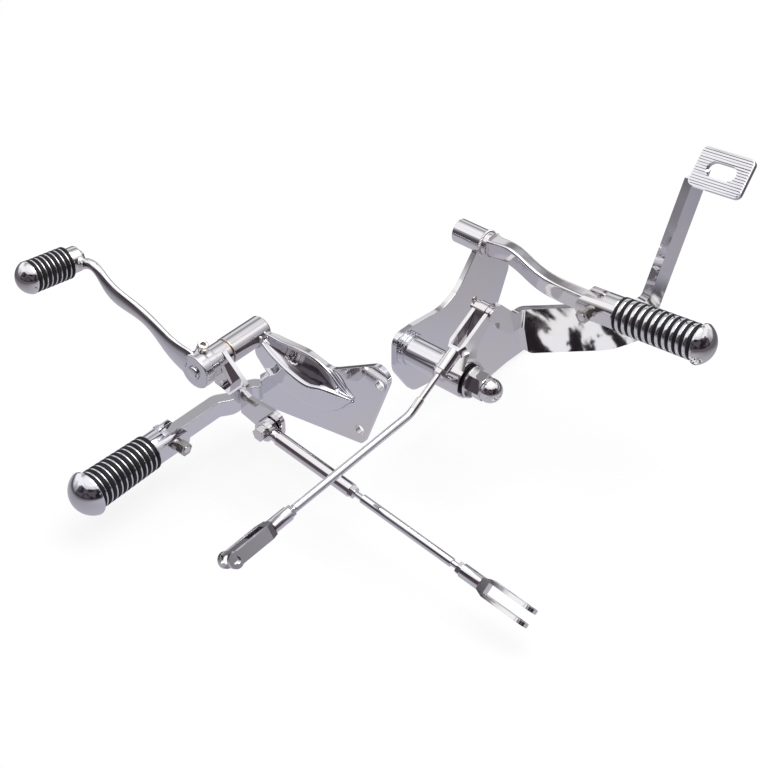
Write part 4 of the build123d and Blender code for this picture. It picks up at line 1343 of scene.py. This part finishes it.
@dataclass(frozen=True)
class PaleFloor:
    """The floor: white to the camera, matt under the part, and a painted reflection in a mirror.

    To mirror rays alone it glows, in a painted reflection that gets darker outwards, with a patch
    of painted dark and bright streaks placed for the brake pedal's arm to mirror. Lengths are in
    metres.
    """

    size: float = 6.0
    drop: float = 0.004
    colour: Colour = (0.94, 0.94, 0.95)
    white_share: float = 0.8
    # Painted reflection: a glow that only mirror rays see on the floor, lighter near the part and
    # darker far out.
    painted_near_tone: Colour = (0.53, 0.52, 0.58)
    painted_far_tone: Colour = (0.13, 0.12, 0.135)
    painted_falloff_span: Span = (0.15, 0.95)
    painted_falloff_drift: float = 0.5
    mottle_scale: float = 2.2
    # Painted reflection: a patch of dark streaks and painted highlights, placed where the brake
    # pedal's arm mirrors the floor.
    streaks_centre: Span = (0.115, -0.245)
    streaks_span: Span = (0.10625, 0.15625)
    streaks_drift: float = 0.05
    streaks_across: Place = (27.0, -29.0, 0.0)
    streaks_along: Place = (11.0, 10.0, 0.0)
    streaks_tones: Span = (0.47, 0.52)
    painted_dark_streaks: Colour = (0.02, 0.017, 0.02)
    painted_bright_streaks: Colour = (0.98, 0.98, 1.0)

    def painted_reflection(self, sheet: NodeSheet, level: float) -> Signal:
        """Colour of the painted reflection that a mirror shows: darker outwards, with painted
        streaks.

        Args:
            sheet: The floor's tree.
            level: The floor's height.

        Returns:
            The colour.
        """
        place = sheet.place()
        mottle = sheet.noise(place, self.mottle_scale)
        reach = sheet.length(place) + (mottle - 0.5) * self.painted_falloff_drift
        # Painted reflection, darker outwards.
        painted_falloff = sheet.mix(reach.ramp(*self.painted_falloff_span), self.painted_near_tone, self.painted_far_tone)
        offset = (-self.streaks_centre[0], -self.streaks_centre[1], -level)
        local = sheet.add("ShaderNodeVectorMath", {"operation": "ADD"}, {0: place, 1: offset})
        away = (sheet.length(local) + (mottle - 0.5) * self.streaks_drift).ramp(*self.streaks_span)
        across = sheet.along(place, self.streaks_across)
        stretched = sheet.vector(across, sheet.along(place, self.streaks_along))
        tones = sheet.noise(stretched, 1.0, 3.0, 0.62).ramp(*self.streaks_tones)
        # Painted dark streaks and painted highlights for the pedal arm's reflection.
        streaks = sheet.mix(tones, self.painted_dark_streaks, self.painted_bright_streaks)
        return sheet.mix(1.0 - away, painted_falloff, streaks)

    def material(self, level: float) -> bpy.types.Material:
        """Make the floor's material.

        Args:
            level: The floor's height.

        Returns:
            The material.
        """
        material, sheet = new_material("pale_floor")
        matt = sheet.add("ShaderNodeBsdfDiffuse", None, {"Color": _rgba(self.colour)}, "BSDF")
        # The floor glows with the painted reflection, and only mirror rays see it.
        mirrored = sheet.emission(self.painted_reflection(sheet, level))
        lit = sheet.mix_surfaces(sheet.ray("Is Glossy Ray"), matt, mirrored)
        seen = sheet.ray("Is Camera Ray") * self.white_share
        both = sheet.mix_surfaces(seen, lit, sheet.emission(WHITE))
        sheet.add("ShaderNodeOutputMaterial", None, {"Surface": both})
        return material

    def build(self, lowest: float) -> None:
        """Lay the floor under the part.

        Args:
            lowest: The part's lowest height.
        """
        half = self.size / 2
        level = lowest - self.drop
        sides = ((-half, -half), (half, -half), (half, half), (-half, half))
        mesh = bpy.data.meshes.new("floor")
        mesh.from_pydata([(x, y, level) for x, y in sides], [], [(0, 1, 2, 3)])
        floor = link_piece("floor", mesh)
        mesh.materials.append(self.material(level))
        floor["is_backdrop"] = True


@dataclass
class Studio:
    """White backdrop, soft light, and the camera of the photograph, in metres and degrees."""

    azimuth: float = -49.6
    elevation: float = 38.5
    distance: float = 1.730
    target: Place = (0.0198, 0.0035, 0.0118)
    lens: float = 84.375
    sensor: float = 36.0
    daylight: Colour = (0.85, 0.85, 0.87)
    lamp_energy: float = 14.0
    lamp_size: float = 1.2
    lamp_place: Place = (0.3, -0.2, 1.6)

    def camera(self) -> None:
        """Place the camera as the photograph's."""
        turn, rise = math.radians(-self.azimuth), math.radians(self.elevation)
        away = Vector((math.sin(turn), math.cos(turn), 0.0))
        right = Vector((math.cos(turn), -math.sin(turn), 0.0))
        forward = away * math.cos(rise) - UP * math.sin(rise)
        upward = right.cross(forward)
        data = bpy.data.cameras.new("photo_camera")
        data.lens = self.lens
        data.sensor_width = self.sensor
        camera = bpy.data.objects.new("photo_camera", data)
        bpy.context.scene.collection.objects.link(camera)
        turned = Matrix((right, upward, -forward)).transposed().to_4x4()
        spot = Vector(self.target) - forward * self.distance
        camera.matrix_world = Matrix.Translation(spot) @ turned
        bpy.context.scene.camera = camera

    def world(self) -> None:
        """Light the scene: white to the camera, plain to matt surfaces, a tent to metal."""
        world = bpy.data.worlds.new("white_studio")
        bpy.context.scene.world = world
        world.use_nodes = True
        sheet = NodeSheet(world.node_tree)
        mirrored = ReflectedRoom(self.azimuth).build(sheet)
        plain = sheet.mix(sheet.ray("Is Glossy Ray"), self.daylight, mirrored)
        seen = sheet.mix(sheet.ray("Is Camera Ray"), plain, WHITE)
        background = sheet.add("ShaderNodeBackground", None, {"Color": seen, "Strength": 1.0})
        sheet.add("ShaderNodeOutputWorld", None, {"Surface": background})

    def lamp(self) -> None:
        """Hang one soft lamp over the part, for its shadow on the floor."""
        data = bpy.data.lights.new("soft_lamp", "AREA")
        data.energy = self.lamp_energy
        data.size = self.lamp_size
        lamp = bpy.data.objects.new("soft_lamp", data)
        lamp.location = self.lamp_place
        bpy.context.scene.collection.objects.link(lamp)

    def build(self, lowest: float) -> None:
        """Set up everything around the part.

        Args:
            lowest: The part's lowest height.
        """
        self.camera()
        self.world()
        PaleFloor().build(lowest)
        self.lamp()
        bpy.context.scene.view_settings.view_transform = "Standard"


def main() -> None:
    """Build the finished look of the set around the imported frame."""
    logging.basicConfig(level=logging.INFO)
    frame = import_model()
    cad_box = [list(corner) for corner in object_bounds()]
    Studio().build(cad_box[0][2])
    finishes = Finishes()
    rings = ring_tree()
    ring_nodes = RingedPegs(frame, finishes).build_all(rings)
    bracket = TroughBracket(frame, finishes)
    bracket.build()
    WeldSeams(finishes).build_all(seam_tree(), bracket)
    details = PivotDetails(frame, finishes)
    details.shaft_button()
    details.collar_beads(rings)
    PolishedNodes(frame, finishes).build_all(left_out=(*ring_nodes, bracket.node))


if __name__ == "__main__":
    main()
